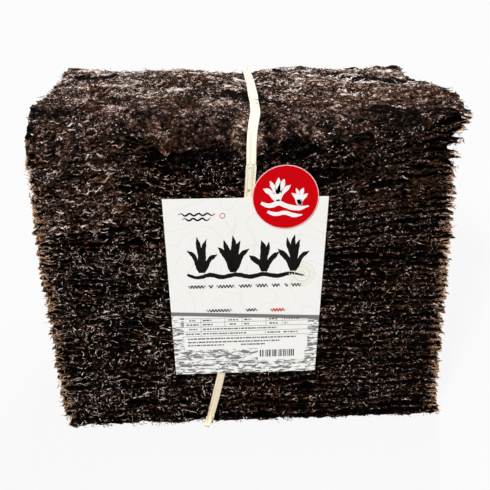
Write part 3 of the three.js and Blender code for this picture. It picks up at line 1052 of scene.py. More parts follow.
        slope = np.arctan((lies_at(x + 3) - lies_at(x - 3)) / 6)
        high = lies_at(x) + np.where(rolled, rng.uniform(-0.4, 1.2, count), rng.normal(0, 0.35, count))
        away, half = x - pile.label_x, self.label_half[1]
        moved = np.sign(away) * rng.uniform(half, 128, count)
        x = np.where((np.abs(away) < half) & (high < self.sticker_top), moved, x)
        high = np.where(rolled, high, lies_at(x))
        middle = pile.placed(pile.each(pile.spread, x, y, level), y, high)
        yaw = rng.normal(0, 0.3, count) * np.where(corner, 1.8, 1.0)
        pitch = slope + rng.normal(0, 0.12, count) * np.where(corner, 2.0, 1.0)
        ahead = np.stack([np.cos(yaw) * np.cos(pitch), np.sin(yaw) * np.cos(pitch), np.sin(pitch)], axis=1)
        aside = self.turned(ahead, rng.uniform(0.2, 1.5, count))
        length = rng.uniform(4.0, 13.0, count)
        width = rng.uniform(0.5, 1.7, count)
        curl = rng.uniform(-0.14, 0.14, count)
        twist = rng.uniform(-1.5, 1.5, count)
        points, faces = self.strips(rng, middle, ahead, aside, length, width, curl, twist)
        piece = mesh_object("roll_flaps", points, faces)
        # Painted highlights on the flaps, strongest at the left corner.
        highlight_share = 1.1 - 0.75 * smooth_between(-105, -60, x)
        self.colour(piece, material, rng, rng.uniform(0, 0.02, count), highlight_share)

    def colour(self, piece: bpy.types.Object, material: bpy.types.Material, rng: np.random.Generator,
               amber: np.ndarray, highlight_share: np.ndarray) -> None:
        """Stores each strip's own colour shares, its painted highlight share changing along it, and dresses
        the piece.

        Args:
            piece: The joined strips.
            material: The seaweed material.
            rng: The source of the shares.
            amber: How much painted light shining through each strip shows, as amber.
            highlight_share: How strong each strip's painted highlight may be.
        """
        count = len(amber)
        tint = rng.uniform(0, 0.75, count)
        # A few strips get a strong painted highlight.
        pale = rng.uniform(0, 1, count) ** 2.5 * 1.6 * self.pale * highlight_share
        shares = np.empty((count, self.stations, 3, 4))
        shares[..., 0] = amber[:, None, None]
        shares[..., 1] = tint[:, None, None]
        shares[..., 2] = 0
        shares[..., 3] = (pale[:, None] * rng.uniform(0.45, 1.15, (count, self.stations)))[..., None]
        write_attribute(piece, "leaf", shares.reshape(-1, 4))
        calm = np.tile([self.calm, self.calm, self.calm, 0.0], (count * self.stations * 3, 1))
        write_attribute(piece, "matted", calm)
        dress(piece, material, Slot.NORI)


# --- The straw tie -------------------------------------------------------------------------


def sweep_strip(name: str, path: np.ndarray, outward: np.ndarray, widths: np.ndarray, thickness: float,
                crease: Crumple, closed: bool = False, points_across: int = 11) -> bpy.types.Object:
    """Sweeps a creased flat strip along a path.

    Args:
        name: The object's name.
        path: The middle of its inner face, one row each station.
        outward: The unit direction away from what it lies on, at each station.
        widths: The strip's width at each station.
        thickness: Its thickness.
        crease: The noise that gives its lengthwise creases.
        closed: Whether its end meets its start.
        points_across: How many points across each face.

    Returns:
        The closed strip, with an attribute that runs across it and along it.
    """
    count = len(path)
    ahead = np.roll(path, -1, axis=0) - np.roll(path, 1, axis=0)
    if not closed:
        ahead[0], ahead[-1] = path[1] - path[0], path[-1] - path[-2]
    aside = unit(np.cross(unit(ahead), outward))
    steps = np.linalg.norm(np.diff(path, axis=0), axis=1)
    run = np.concatenate([[0], np.cumsum(steps)])
    shares = np.linspace(-1, 1, points_across)
    lift = crease.at(shares[None] * 3.4 + 8, run[:, None] / 55) * 0.34
    lift = lift + crease.at(shares[None] * 6.5 + 30, run[:, None] / 18) * 0.12
    lift = lift * (1 - 0.5 * shares[None] ** 2) + 0.22
    across = shares[None] * widths[:, None] / 2
    inner = path[:, None] + aside[:, None] * across[..., None] + outward[:, None] * 0.02
    outer = inner + outward[:, None] * (np.maximum(lift, 0.03) + thickness)[..., None]
    inner = inner + outward[:, None] * np.maximum(lift * 0.6, 0)[..., None]
    ring = np.concatenate([inner, outer[:, ::-1]], axis=1)
    size = ring.shape[1]
    faces = []
    last = count if closed else count - 1
    for station in range(last):
        ahead_station = (station + 1) % count
        for corner in range(size):
            beside = (corner + 1) % size
            faces.append((station * size + corner, ahead_station * size + corner,
                          ahead_station * size + beside, station * size + beside))
    if not closed:
        faces.append(tuple(range(size)))
        faces.append(tuple((count - 1) * size + corner for corner in reversed(range(size))))
    piece = mesh_object(name, ring.reshape(-1, 3), faces)
    channels = np.zeros((count, size, 4))
    channels[..., 0] = np.concatenate([across, across[:, ::-1]], axis=1) / 10 + 0.5
    channels[..., 1] = (run / 1000)[:, None]
    write_attribute(piece, "straw_run", channels.reshape(-1, 4))
    return piece


@dataclass
class StrawTie:
    """The flat straw strip round the bundle, knotted at the back."""

    pile: PileShape
    top: TopSheet
    width_top: float = 6.5
    width_foot: float = 5.0
    thickness: float = 0.3
    step: float = 2.5
    skin: float = 0.35
    floor_z: float = 0.72
    rounded_z: float = 100.0
    knot_z: float = 203.0
    knot_lift: float = 0.9
    knot_turns: tuple = (((-4.6, -1.6), (-2.2, 0.5), (0.4, 1.1), (3.0, 0.4), (4.8, 1.8)),
                         ((-4.4, 2.2), (-1.8, 0.9), (0.8, -0.8), (3.2, -1.4), (4.6, -2.4)))
    tails: tuple = ((17.5, 4, 1.5, 4.2), (24, 157, 3.5, 4.2), (14, -3, -1.0, 1.6))
    seed: int = 88

    def front_x(self, z: np.ndarray) -> np.ndarray:
        """Where the tie runs on the front, at a height."""
        down = self.pile.height - z
        return -0.9 - 0.0275 * down - 0.00053 * down ** 2

    def back_x(self, z: np.ndarray) -> np.ndarray:
        """Where the tie runs on the back, at a height."""
        return -22 + (6.4 + 22) * z / self.pile.height

    def over_top(self) -> np.ndarray:
        """Stretches the tie over the top sheet, so that it spans the hollows.

        Returns:
            The taut line, as rows of depth and height.
        """
        half = self.pile.depth / 2
        y = np.arange(-half, half + 0.1, 1.5)
        sides = [self.pile.tie_x(y) + side for side in (-3, -1.5, 0, 1.5, 3)]
        height = np.max([self.top.heights(x, y) for x in sides], axis=0) + 0.25
        y = np.concatenate([[-half - self.skin], y, [half + self.skin]])
        height = np.concatenate([[height[0]], height, [height[-1]]])
        taut: list[tuple[float, float]] = []
        for point in zip(y, height):
            while len(taut) > 1:
                (y0, z0), (y1, z1) = taut[-2:]
                if (y1 - y0) * (point[1] - z0) - (z1 - z0) * (point[0] - y0) < 0:
                    break
                taut.pop()
            taut.append(point)
        return np.array(taut)

    def loop(self) -> np.ndarray:
        """Leads the tie round the pile, front to back over the top.

        Returns:
            The closed path of its inner face, one row each station.
        """
        pile = self.pile
        half = pile.depth / 2 + self.skin
        taut = self.over_top()
        corners = np.concatenate([taut, [[half, self.floor_z], [-half, self.floor_z], taut[0]]])
        rows = []
        for (y0, z0), (y1, z1) in zip(corners[:-1], corners[1:]):
            parts = max(1, math.ceil(math.hypot(y1 - y0, z1 - z0) / self.step))
            for part in range(parts):
                rows.append((y0 + (y1 - y0) * part / parts, z0 + (z1 - z0) * part / parts))
        y, z = np.array(rows).T
        y, z = (np.where(z > self.rounded_z, self._rounded(line, 3), self._rounded(line)) for line in (y, z))
        over = pile.tie_x(y) + (self.front_x(taut[0, 1]) - pile.tie_x(y)) * smooth_between(-62, -half, y)
        under = self.front_x(0.0) + (self.back_x(0.0) - self.front_x(0.0)) * (y + half) / (2 * half)
        x = np.where(z < 3, under, over)
        x = np.where(y < -half + 0.6, self.front_x(z), np.where(y > half - 0.6, self.back_x(z), x))
        return pile.placed(self._rounded(x, 14), y, z)

    @staticmethod
    def _rounded(values: np.ndarray, times: int = 1) -> np.ndarray:
        """Rounds the corners of a closed line a little.

        Args:
            values: One coordinate of the line.
            times: How many times it is rounded.

        Returns:
            The coordinate of the rounded line.
        """
        for _ in range(times):
            values = 0.5 * values + 0.25 * (np.roll(values, 1) + np.roll(values, -1))
        return values

    def build(self, material: bpy.types.Material) -> None:
        """Makes and dresses the tie with its knot and tails.

        Args:
            material: The straw material.
        """
        path = self.loop()
        ahead = np.roll(path, -1, axis=0) - np.roll(path, 1, axis=0)
        ahead[:, 0] = 0
        ahead = unit(ahead)
        outward = np.stack([np.zeros(len(path)), -ahead[:, 2], ahead[:, 1]], axis=1)
        crease = Crumple(self.seed)
        share = np.clip(path[:, 2] / self.pile.height, 0, 1)
        widths = self.width_foot + (self.width_top - self.width_foot) * share
        run = np.arange(len(path)) * self.step
        widths = widths * (1 + 0.07 * crease.at(run / 23, 5.0))
        tie = sweep_strip("straw_strip", path, outward, widths, self.thickness, crease, closed=True)
        parts = [tie, self.foot_end(crease)] + self.knot(crease)
        select_only(tie)
        for part in parts:
            part.select_set(True)
        bpy.ops.object.join()
        dress(tie, material, Slot.STRAW, "straw_tie")

    def foot_end(self, crease: Crumple) -> bpy.types.Object:
        """Makes the straw's loose end, which curls out a little at the foot of the front.

        Args:
            crease: The noise of the straw's creases.

        Returns:
            The separate strip.
        """
        share = np.linspace(0, 1, 12)
        turn = share * math.radians(115)
        x = self.front_x(4.0) - 3.2 * share ** 1.5
        y = -self.pile.depth / 2 - self.skin - 0.55 - 3.4 * (1 - np.cos(turn))
        z = 7.5 - 6.6 * np.sin(np.minimum(turn, math.pi / 2)) + 2.4 * np.clip(turn - math.pi / 2, 0, None)
        outward = np.stack([np.zeros(12), -np.cos(turn), np.sin(turn)], axis=1)
        path = self.pile.placed(x, y, z)
        widths = 4.6 - 1.6 * share
        return sweep_strip("foot_end", path, outward, widths, self.thickness, crease, points_across=7)

    def knot(self, crease: Crumple) -> list[bpy.types.Object]:
        """Makes the flat knot and its two tails.

        Args:
            crease: The noise of the straw's creases.

        Returns:
            The separate strips.
        """
        x = float(self.back_x(self.knot_z)) + self.pile.shift_x
        y = self.pile.depth / 2 + self.skin + self.pile.shift_y + self.knot_lift
        z = self.knot_z
        parts = []
        for number, turn in enumerate(self.knot_turns):
            way = np.array(turn)
            fine = np.linspace(0, len(way) - 1, 15)
            px = np.interp(fine, range(len(way)), way[:, 0])
            pz = np.interp(fine, range(len(way)), way[:, 1])
            bump = np.sin(np.linspace(0, math.pi, 15)) * (1.0 + 0.7 * number)
            path = np.stack([x + px, y - 0.7 + bump, z + pz], axis=1)
            outward = unit(np.stack([px / 7, np.ones(15), np.zeros(15)], axis=1))
            widths = 4.6 + 0.9 * np.cos(np.linspace(-2, 2, 15))
            name = f"knot_turn_{number}"
            parts.append(sweep_strip(name, path[::-1], outward, widths, self.thickness, crease))
        for number, (length, lean, sway, width) in enumerate(self.tails):
            share = np.linspace(0, 1, 14)
            angle = math.radians(lean)
            bend = sway * share ** 2
            px = x + math.sin(angle) * length * share + math.cos(angle) * bend
            pz = z + math.cos(angle) * length * share - math.sin(angle) * bend
            py = y + 0.4 + 0.3 * number + 1.2 * share ** 2
            path = np.stack([px, py, pz], axis=1)
            outward = np.tile([0.0, 1.0, 0.0], (14, 1))
            widths = width * (1 - 0.3 * share ** 3)
            name = f"tail_{number}"
            parts.append(sweep_strip(name, path, outward, widths, self.thickness, crease, points_across=7))
        return parts


# --- The label and the sticker -------------------------------------------------------------


@dataclass
class PaperLabel:
    """The printed paper label on the front, a little narrower at the foot."""

    pile: PileShape
    top_width: float = 106.0
    foot_width: float = 96.0
    low_z: float = 42.5
    high_z: float = 169.5
    back_y: float = -98.62
    thickness: float = 0.22
    cells: tuple = (54, 64)
    seed: int = 5

    def face_y(self, x: np.ndarray, z: np.ndarray) -> np.ndarray:
        """Buckles the paper slightly.

        Args:
            x: Places along X.
            z: Heights.

        Returns:
            The depth of its printed face at each place.
        """
        noise = Crumple(self.seed)
        buckle = noise.waves(x, z, ((42, 0.16), (19, 0.05)))
        side = np.clip((np.abs(x - self.pile.label_x) - 38) / 15, 0, 1) ** 2
        return self.back_y - self.thickness - 0.2 - buckle * 0.8 + side * 0.12

    def width_at(self, z: np.ndarray) -> np.ndarray:
        """The paper's width at a height."""
        share = (z - self.low_z) / (self.high_z - self.low_z)
        return self.foot_width + (self.top_width - self.foot_width) * share

    def build(self, material: bpy.types.Material) -> None:
        """Makes and dresses the sheet of paper.

        Args:
            material: The printed paper material.
        """
        bpy.ops.object.select_all(action="DESELECT")
        bpy.ops.mesh.primitive_grid_add(x_subdivisions=self.cells[0], y_subdivisions=self.cells[1], size=1,
                                        rotation=(math.pi / 2, 0, 0))
        paper = bpy.context.object
        bpy.ops.object.transform_apply(location=False, rotation=True, scale=False)
        flat = read_points(paper) * MM
        z = self.low_z + (flat[:, 2] + 0.5) * (self.high_z - self.low_z)
        x = self.pile.label_x + flat[:, 0] * self.width_at(z)
        write_points(paper, self.pile.placed(x, self.face_y(x, z), z))
        thicken(paper, self.thickness)
        paper.name = paper.data.name = "label_paper"
        dress(paper, material, Slot.PAPER, "paper_label")


@dataclass
class Brush:
    """Draws flat strokes on a face that looks to the front, all joined to one mesh."""

    pile: PileShape
    face_y: Callable
    lift: float = 0.05
    thickness: float = 0.03
    points: list = field(default_factory=list)
    faces: list = field(default_factory=list)

    def stroke(self, line: list, width: float, ends: tuple = (1.0, 1.0), rough: float = 0.0, seed: int = 1,
               smooth: bool = True, step: float = 1.2) -> None:
        """Draws one stroke.

        Args:
            line: Places on the face, as pairs of x and z.
            width: The stroke's greatest width.
            ends: The share of the width at its start and at its end.
            rough: How far its edges stray.
            seed: The seed of their straying.
            smooth: Whether the stroke bends smoothly through its places.
            step: How far apart its stations lie.
        """
        way = np.array(line, dtype=float)
        if smooth and len(line) > 2:
            way = self._smoothed(way)
        steps = np.linalg.norm(np.diff(way, axis=0), axis=1)
        run = np.concatenate([[0], np.cumsum(steps)])
        count = max(2, math.ceil(run[-1] / step) + 1)
        at = np.linspace(0, run[-1], count)
        x, z = np.interp(at, run, way[:, 0]), np.interp(at, run, way[:, 1])
        ahead = np.stack([np.gradient(x), np.gradient(z)], axis=1)
        ahead /= np.linalg.norm(ahead, axis=1)[:, None] + 1e-9
        share = at / run[-1]
        swell = np.interp(share, (0, 0.18, 0.8, 1), (ends[0], 1, 1, ends[1]))
        noise = Crumple(seed)
        left = width / 2 * swell + rough * noise.at(at / 1.3, 0.0)
        right = width / 2 * swell + rough * noise.at(at / 1.3, 7.0)
        middle = np.stack([x, z], axis=1)
        normal = np.stack([-ahead[:, 1], ahead[:, 0]], axis=1)
        self._slab(middle + normal * left[:, None], middle - normal * right[:, None])

    def bar(self, left: float, right: float, z: float, height: float) -> None:
        """Draws a plain level bar round a middle height."""
        self.stroke([(left, z), (right, z)], height, smooth=False)

    def upright(self, x: float, low: float, high: float, width: float) -> None:
        """Draws a thin upright line."""
        self.stroke([(x, low), (x, high)], width, smooth=False)

    def ring(self, x: float, z: float, radius: float, width: float, parts: int) -> None:
        """Draws a thin ring.

        Args:
            x: Its middle along X.
            z: Its middle's height.
            radius: Its radius.
            width: The line's width.
            parts: How many straight parts it has.
        """
        angles = np.linspace(0, 2 * math.pi, parts + 1)
        line = [(x + radius * math.cos(a), z + radius * math.sin(a)) for a in angles]
        self.stroke(line, width, smooth=False)

    @staticmethod
    def _smoothed(way: np.ndarray) -> np.ndarray:
        """Cuts a line's corners three times over.

        Args:
            way: The line's places, one row each.

        Returns:
            The smoother line's places.
        """
        for _ in range(3):
            near = way[:-1] * 0.75 + way[1:] * 0.25
            far = way[:-1] * 0.25 + way[1:] * 0.75
            inner = np.empty((2 * len(near), 2))
            inner[0::2], inner[1::2] = near, far
            way = np.concatenate([way[:1], inner, way[-1:]])
        return way

    def tuft(self, x: float, z: float, reach: float, tall: float, width: float, blades: int,
             seed: int) -> None:
        """Draws curved blades that fan out from one foot, each tapering to its tip.

        Args:
            x: The foot along X.
            z: The foot's height.
            reach: How far the outer tips lie to each side.
            tall: The middle blade's length.
            width: The widest blade's width.
            blades: How many blades.
            seed: The seed of their small changes.
        """
        rng = np.random.default_rng(seed)
        for number, lean in enumerate(np.linspace(-1, 1, blades)):
            lean = lean + rng.uniform(-0.12, 0.12)
            high = tall * (1 - 0.42 * abs(lean) ** 1.5) * rng.uniform(0.88, 1.05)
            sway = rng.uniform(-0.12, 0.12) * reach
            line = [(x + 1.1 * lean, z), (x + lean * reach * 0.22 - sway, z + high * 0.38),
                    (x + lean * reach * 0.62 + sway, z + high * 0.76), (x + lean * reach * 1.05, z + high)]
            self.stroke(line, width * rng.uniform(0.75, 1.0), (0.45, 0.06), 0.16, seed + number)

    def _slab(self, first: np.ndarray, second: np.ndarray) -> None:
        """Adds a thin closed slab that follows the face.

        Args:
            first: The places along one edge, one row each.
            second: As many places along the other edge.
        """
        start = len(self.points)
        low, high = self.lift, self.lift + self.thickness
        rows = []
        for edge, lift in ((first, low), (second, low), (second, high), (first, high)):
            x, z = edge.T
            rows.append(self.pile.placed(x, self.face_y(x, z) - lift, z))
        ring = np.stack(rows, axis=1)
        count = len(first)
        self.points.extend(ring.reshape(-1, 3).tolist())
        for station in range(count - 1):
            for corner in range(4):
                here, beside = start + 4 * station + corner, start + 4 * station + (corner + 1) % 4
                self.faces.append((here, here + 4, beside + 4, beside))
        self.faces.append(tuple(start + corner for corner in range(4)))
        self.faces.append(tuple(start + 4 * (count - 1) + corner for corner in (3, 2, 1, 0)))

    def finish(self, name: str, material: bpy.types.Material, slot: Slot) -> None:
        """Joins the strokes to one piece and dresses it.

        Args:
            name: The piece's name.
            material: The ink.
            slot: The material slot.
        """
        piece = mesh_object(name, np.array(self.points), self.faces)
        select_only(piece)
        bpy.ops.object.mode_set(mode="EDIT")
        bpy.ops.mesh.select_all(action="SELECT")
        bpy.ops.mesh.normals_make_consistent(inside=False)
        bpy.ops.object.mode_set(mode="OBJECT")
        dress(piece, material, slot)


@dataclass
class LabelPrint:
    """The label's print: brush drawings and plain marks, with no lettering."""

    pile: PileShape
    label: PaperLabel
    ripples: tuple = (
        (158.9, 0.8, 5.6, 1.15, ((-48.4, -25.2),)),
        (155.6, 0.8, 5.6, 1.15, ((-46.2, -27.4),)),
        (108.3, 1.0, 2.1, 0.75, ((-43.6, -32), (-30.2, -26.8), (-25, -12.6), (-10.4, -1.2), (0.8, 9.4),
                                 (11.4, 17.2), (20, 22.5), (24.3, 31.6))),
        (90.6, 0.95, 2.0, 0.7, ((-32.2, -14.6), (-5.8, 2.4))),
    )
    stripes_x: tuple = (4.4, 27.2)
    stripes_z: tuple = (54.6, 59.9)
    table_x: tuple = (-47.0, 36.2)
    table_lines: tuple = (85.0, 82.0, 78.7, 75.1, 71.6)
    table_uprights: tuple = ((-35.8, 71.6, 85.0), (-19.7, 78.7, 85.0), (-8.2, 78.7, 85.0), (8.0, 78.7, 85.0),
                             (18.9, 78.7, 85.0), (7.6, 71.6, 75.1))
    dashes: tuple = (
        (83.5, ((-43.5, -39.5), (-34.5, -28.5), (-17.5, -10.5), (-6.8, -1.8), (9.8, 15.6), (20.2, 30.8))),
        (80.3, ((-45.5, -37.3), (-34.5, -28.0), (-16.5, -12.0), (-6.8, -3.4), (10.2, 16.0), (20.5, 22.6))),
        (76.9, ((-43.8, -37.8), (-34.5, 15.5))),
        (73.4, ((-46.0, -36.8), (-34.5, -5.0), (9.0, 17.8), (20.0, 29.5))),
        (69.6, ((-44.8, 28.6),)),
        (67.0, ((-44.8, 17.5),)),
        (64.6, ((-44.8, -20.5), (-9.0, 7.5))),
    )
    line_width: float = 0.24
    upright_width: float = 0.22
    dash_height: float = 1.0
    seal_rings: tuple = ((8.4, 0.5), (6.9, 0.35), (5.2, 0.9), (3.4, 0.4), (1.8, 0.7))
    seed: int = 12

    def brush(self) -> Brush:
        """A brush that draws on the label."""
        return Brush(self.pile, self.label.face_y)

    def build(self, black: bpy.types.Material, grey: bpy.types.Material, red: bpy.types.Material,
              beige: bpy.types.Material) -> None:
        """Draws everything, one piece for each ink.

        Args:
            black: The black ink.
            grey: The grey ink.
            red: The red ink.
            beige: The pale seal's ink.
        """
        ink = self.brush()
        self.draw_fronds(ink)
        self.draw_marks(ink)
        ink.finish("label_ink_black", black, Slot.PAPER)
        pale = self.brush()
        self.draw_table(pale)
        pale.finish("label_ink_grey", grey, Slot.PAPER)
        accent = self.brush()
        self.ripple(accent, 10.6, 21.0, 90.2, 1.0, 2.0, 0.85)
        accent.ring(-20.6, 157.8, 1.7, 0.5, 16)
        accent.finish("label_ink_red", red, Slot.PAPER)
        seal = self.brush()
        for radius, width in self.seal_rings:
            seal.ring(31.5, 115.9, radius, width, 40)
        seal.finish("label_ink_beige", beige, Slot.PAPER)

    def draw_fronds(self, ink: Brush) -> None:
        """Brushes four tufts of sea fronds over a long wave.

        Args:
            ink: The black brush.
        """
        for x, reach, tall, blades, seed in ((-34.5, 9.5, 26, 4, 40), (-14.0, 10.0, 28, 5, 50),
                                             (6.5, 9.0, 24, 4, 60), (25.5, 9.5, 28, 5, 70)):
            ink.tuft(x, 118.4, reach, tall, 3.7, blades, seed)
        wave = [(-44, 117.2), (-37, 114.2), (-29, 117.6), (-21, 114.4), (-12, 117.4), (-3, 114.2), (6, 117.2),
                (15, 114.4), (24, 117.4), (33.5, 114.8)]
        ink.stroke(wave, 3.1, (0.6, 0.2), 0.22, 81)

    def draw_marks(self, ink: Brush) -> None:
        """Draws rows of ripples and a field of plain upright stripes.

        Args:
            ink: The black brush.
        """
        for z, tall, length, width, runs in self.ripples:
            for start, end in runs:
                self.ripple(ink, start, end, z, tall, length, width)
        rng = np.random.default_rng(self.seed + 1)
        x, right = self.stripes_x
        while x < right:
            width = float(rng.choice((0.35, 0.5, 0.8)))
            ink.upright(x, *self.stripes_z, width)
            x += width + float(rng.choice((0.4, 0.6, 0.9)))

    @staticmethod
    def ripple(ink: Brush, start: float, end: float, z: float, tall: float, length: float,
               width: float) -> None:
        """Draws a short run of small waves.

        Args:
            ink: The brush.
            start: Where it starts along X.
            end: Where it ends.
            z: Its middle height.
            tall: How far it swings up and down.
            length: The length of one wave.
            width: The line's width.
        """
        x = np.arange(start, end, length / 8)
        z_line = z + tall * np.sin(2 * math.pi * (x - start) / length)
        ink.stroke(list(zip(x, z_line)), width, (0.3, 0.3), smooth=False, step=min(length / 7, 1.2))

    def draw_table(self, ink: Brush) -> None:
        """Draws the table's grid and its rows of dashes.

        Args:
            ink: The grey brush.
        """
        for z in self.table_lines:
            ink.bar(*self.table_x, z, self.line_width)
        for x, low, high in self.table_uprights:
            ink.upright(x, low, high, self.upright_width)
        rng = np.random.default_rng(self.seed)
        for z, runs in self.dashes:
            for x, end in runs:
                while x < end:
                    length = min(rng.uniform(0.7, 2.4), end - x)
                    ink.bar(x, x + length, z, self.dash_height)
                    x += length + rng.uniform(0.3, 0.75)


@dataclass
class RoundSticker:
    """The round red sticker, whose middle lies on the label's top edge."""

    pile: PileShape
    x: float = 19.6
    z: float = 169.5
    diameter: float = 42.5
    thickness: float = 0.18
    rim: float = 0.55
    rings: int = 10
    back_y: float = -99.35

    def face_y(self, _: np.ndarray, z: np.ndarray) -> np.ndarray:
        """The depth of the sticker's face, the same all along X: it bends over the label's edge."""
        over = smooth_between(-1.2, 1.2, z - self.z)
        return self.back_y - self.thickness + 0.12 * over

    def build(self, red: bpy.types.Material, pale: bpy.types.Material, white: bpy.types.Material) -> None:
        """Makes and dresses the disc, its pale rim and its drawing.

        Args:
            red: The coated red paper.
            pale: The rim's pale pink paper.
            white: The white ink.
        """
        for name, radius, lift, material, nodes in (
                ("sticker_rim", self.diameter / 2, 0.0, pale, ()),
                ("sticker_disc", self.diameter / 2 - self.rim, 0.06, red, ("round_sticker",))):
            bpy.ops.object.select_all(action="DESELECT")
            bpy.ops.mesh.primitive_circle_add(vertices=96, radius=radius * MM, fill_type="NGON",
                                              rotation=(math.pi / 2, 0, 0))
            disc = bpy.context.object
            bpy.ops.object.transform_apply(location=False, rotation=True, scale=False)
            bpy.ops.object.mode_set(mode="EDIT")
            bpy.ops.mesh.select_all(action="SELECT")
            for _ in range(self.rings):
                bpy.ops.mesh.inset(thickness=(radius - 1.0) / self.rings * MM, depth=0)
            bpy.ops.object.mode_set(mode="OBJECT")
            flat = read_points(disc)
            x, z = flat[:, 0] + self.x, flat[:, 2] + self.z
            write_points(disc, self.pile.placed(x, self.face_y(x, z) - lift, z))
            thicken(disc, self.thickness)
            disc.name = disc.data.name = name
            dress(disc, material, Slot.STICKER, *nodes)
        self.draw(white)

    def draw(self, white: bpy.types.Material) -> None:
        """Brushes two tufts of weed over waves in white.

        Args:
            white: The white ink.
        """
        ink = Brush(self.pile, self.face_y, lift=0.1)
        ink.tuft(14.5, 167.0, 8.2, 17.5, 3.5, 5, 3)
        ink.tuft(28.5, 164.5, 5.4, 12.0, 2.8, 4, 13)
        upper = [(4.0, 166.0), (9.5, 163.4), (15.0, 166.4), (21.0, 163.2), (27.5, 161.8), (34.5, 163.4)]
        lower = [(8.0, 160.0), (13.5, 158.0), (19.5, 159.8), (25.0, 157.0), (30.5, 157.6)]
        for number, (wave, width) in enumerate(((upper, 3.2), (lower, 2.7))):
            ink.stroke(wave, width, (0.6, 0.25), 0.15, 26 + number)
        ink.finish("sticker_drawing", white, Slot.STICKER)


# --- Finishes ------------------------------------------------------------------------------


@dataclass(frozen=True)
class SeaweedFinish:
    """Rough laver, chopped, pressed and sun dried.

    It is nearly black brown, with purple-grey and rusty patches, and each crumpled leaf has a
    thin skin that gives small sharp highlights; its palest colours are painted highlights too.
    Thin torn tips are painted amber, as light shining through them. The leaf attribute tells how
    much painted light through the tips, how rusty, how much painted shade and how much painted
    highlight each place has, and the matted one how even its mottling is and how much of the web
    of threads shows.
    """

    black: str = "#040405"
    brown: str = "#2c1f1a"
    mauve: str = "#65493e"
    # The two palest colours are painted highlights.
    pale: str = "#af9588"
    painted_glint: str = "#e8e0dc"
    amber: str = "#f4c398"
    rust: tuple = (1.3, 0.88, 0.38, 1.0)
    patch_mm: float = 26.0
    strand_mm: float = 5.0
    mottle_mm: float = 2.8
    crumple_mm: float = 1.6
    spark_mm: float = 1.5
    shine: float = 0.03

    def material(self) -> bpy.types.Material:
        """Makes the material.

        Returns:
            The material.
        """
        material, tree, shader = new_material("Pressed_dried_seaweed")
        place = add_node(tree, "TexCoord")["Object"]
        leaf = add_node(tree, "Attribute", attribute_name="leaf")
        matted = add_node(tree, "Attribute", attribute_name="matted")
        backlit_fringe, tint, deep = add_node(tree, "SeparateColor", (leaf["Color"],))
        mottle, patches, web, sparks, crumples = (
            add_node(tree, "TexNoise", {"Vector": place, "Scale": 1000 / size, "Detail": detail,
                                        "Roughness": roughness, "Distortion": distortion})["Fac"]
            for size, detail, roughness, distortion in (
                (self.mottle_mm, 4.0, 0.66, 0.0), (self.patch_mm, 2.0, 0.5, 0.0),
                (self.strand_mm, 2.0, 0.5, 0.8), (self.spark_mm, 1.0, 0.5, 0.0),
                (self.crumple_mm, 2.0, 0.6, 0.0)))

        # How pale each place is: its own painted highlight share, the mottling, the threads and the painted
        # sparkles.
        middle = add_node(tree, "Math", (web, 0.5), operation="SUBTRACT")[0]
        middle = add_node(tree, "Math", (middle,), operation="ABSOLUTE")[0]
        threads = add_node(tree, "MapRange", (middle, 0.0, 0.05, 1.0, 0.0))[0]
        # Painted sparkles: small bright flecks, more where the rust patches are not.
        painted_glints = add_node(tree, "MapRange", (sparks, 0.65, 0.72, 0.0, 0.25))[0]
        painted_sparkle_share = add_node(tree, "MapRange", (patches, 0.42, 0.56, 1.3, 0.3))[0]
        mottled = add_node(tree, "Math", (mottle, 0.5), operation="SUBTRACT")[0]
        contrast = add_node(tree, "Math", (matted["Fac"], -0.6, 1.05), operation="MULTIPLY_ADD")[0]
        shown = add_node(tree, "Math", (matted["Alpha"], 0.17, 0.07), operation="MULTIPLY_ADD")[0]
        strands = 0.472
        for first, second in ((leaf["Alpha"], 0.36), (mottled, contrast), (threads, shown), (painted_glints, painted_sparkle_share)):
            strands = add_node(tree, "Math", (first, second, strands), operation="MULTIPLY_ADD")[0]
        base = add_node(tree, "ValToRGB", (strands,))
        set_ramp(base, [(0.47, self.black), (0.56, self.brown), (0.64, self.mauve), (0.72, self.pale),
                        (0.80, self.painted_glint)])

        # Rust lies in patches on the dull places; painted light shining through torn tips shows amber, and
        # painted shade darkens pits, low places and the leaf between the layers.
        rusty = add_node(tree, "Math", (tint, 0.5, patches), operation="MULTIPLY_ADD")[0]
        rusty = add_node(tree, "MapRange", (rusty, 0.64, 0.92, 0.0, 1.0))[0]
        dull = add_node(tree, "MapRange", (strands, 0.6, 0.7, 1.0, 0.1))[0]
        rusty = add_node(tree, "Math", (rusty, dull), operation="MULTIPLY")[0]
        rusted = add_node(tree, "Mix", {"Factor": 1.0, "A": base[0], "B": self.rust},
                          data_type="RGBA", blend_type="MULTIPLY")[2]
        shade = add_node(tree, "MapRange", (deep, 0.03, 0.31, 1.0, 0.07))[0]
        colour = base[0]
        for share, over, blend in ((rusty, rusted, "MIX"), (backlit_fringe, linear(self.amber), "MIX"),
                                   (1.0, shade, "MULTIPLY")):
            colour = add_node(tree, "Mix", {"Factor": share, "A": colour, "B": over},
                              data_type="RGBA", blend_type=blend)[2]

        rough = add_node(tree, "MapRange", (strands, 0.52, 0.76, 1.0, 0.25))[0]
        rough = add_node(tree, "Math", (deep, 0.6, rough), operation="MULTIPLY_ADD", use_clamp=True)[0]
        folds = add_node(tree, "Math", (threads, 0.5, crumples), operation="MULTIPLY_ADD")[0]
        bump = add_node(tree, "Bump", {"Height": folds, "Strength": 1.0, "Distance": 0.6 * MM})[0]
        set_inputs(shader, {"Base Color": colour, "Roughness": rough, "Normal": bump,
                            "Specular IOR Level": self.shine})
        return material


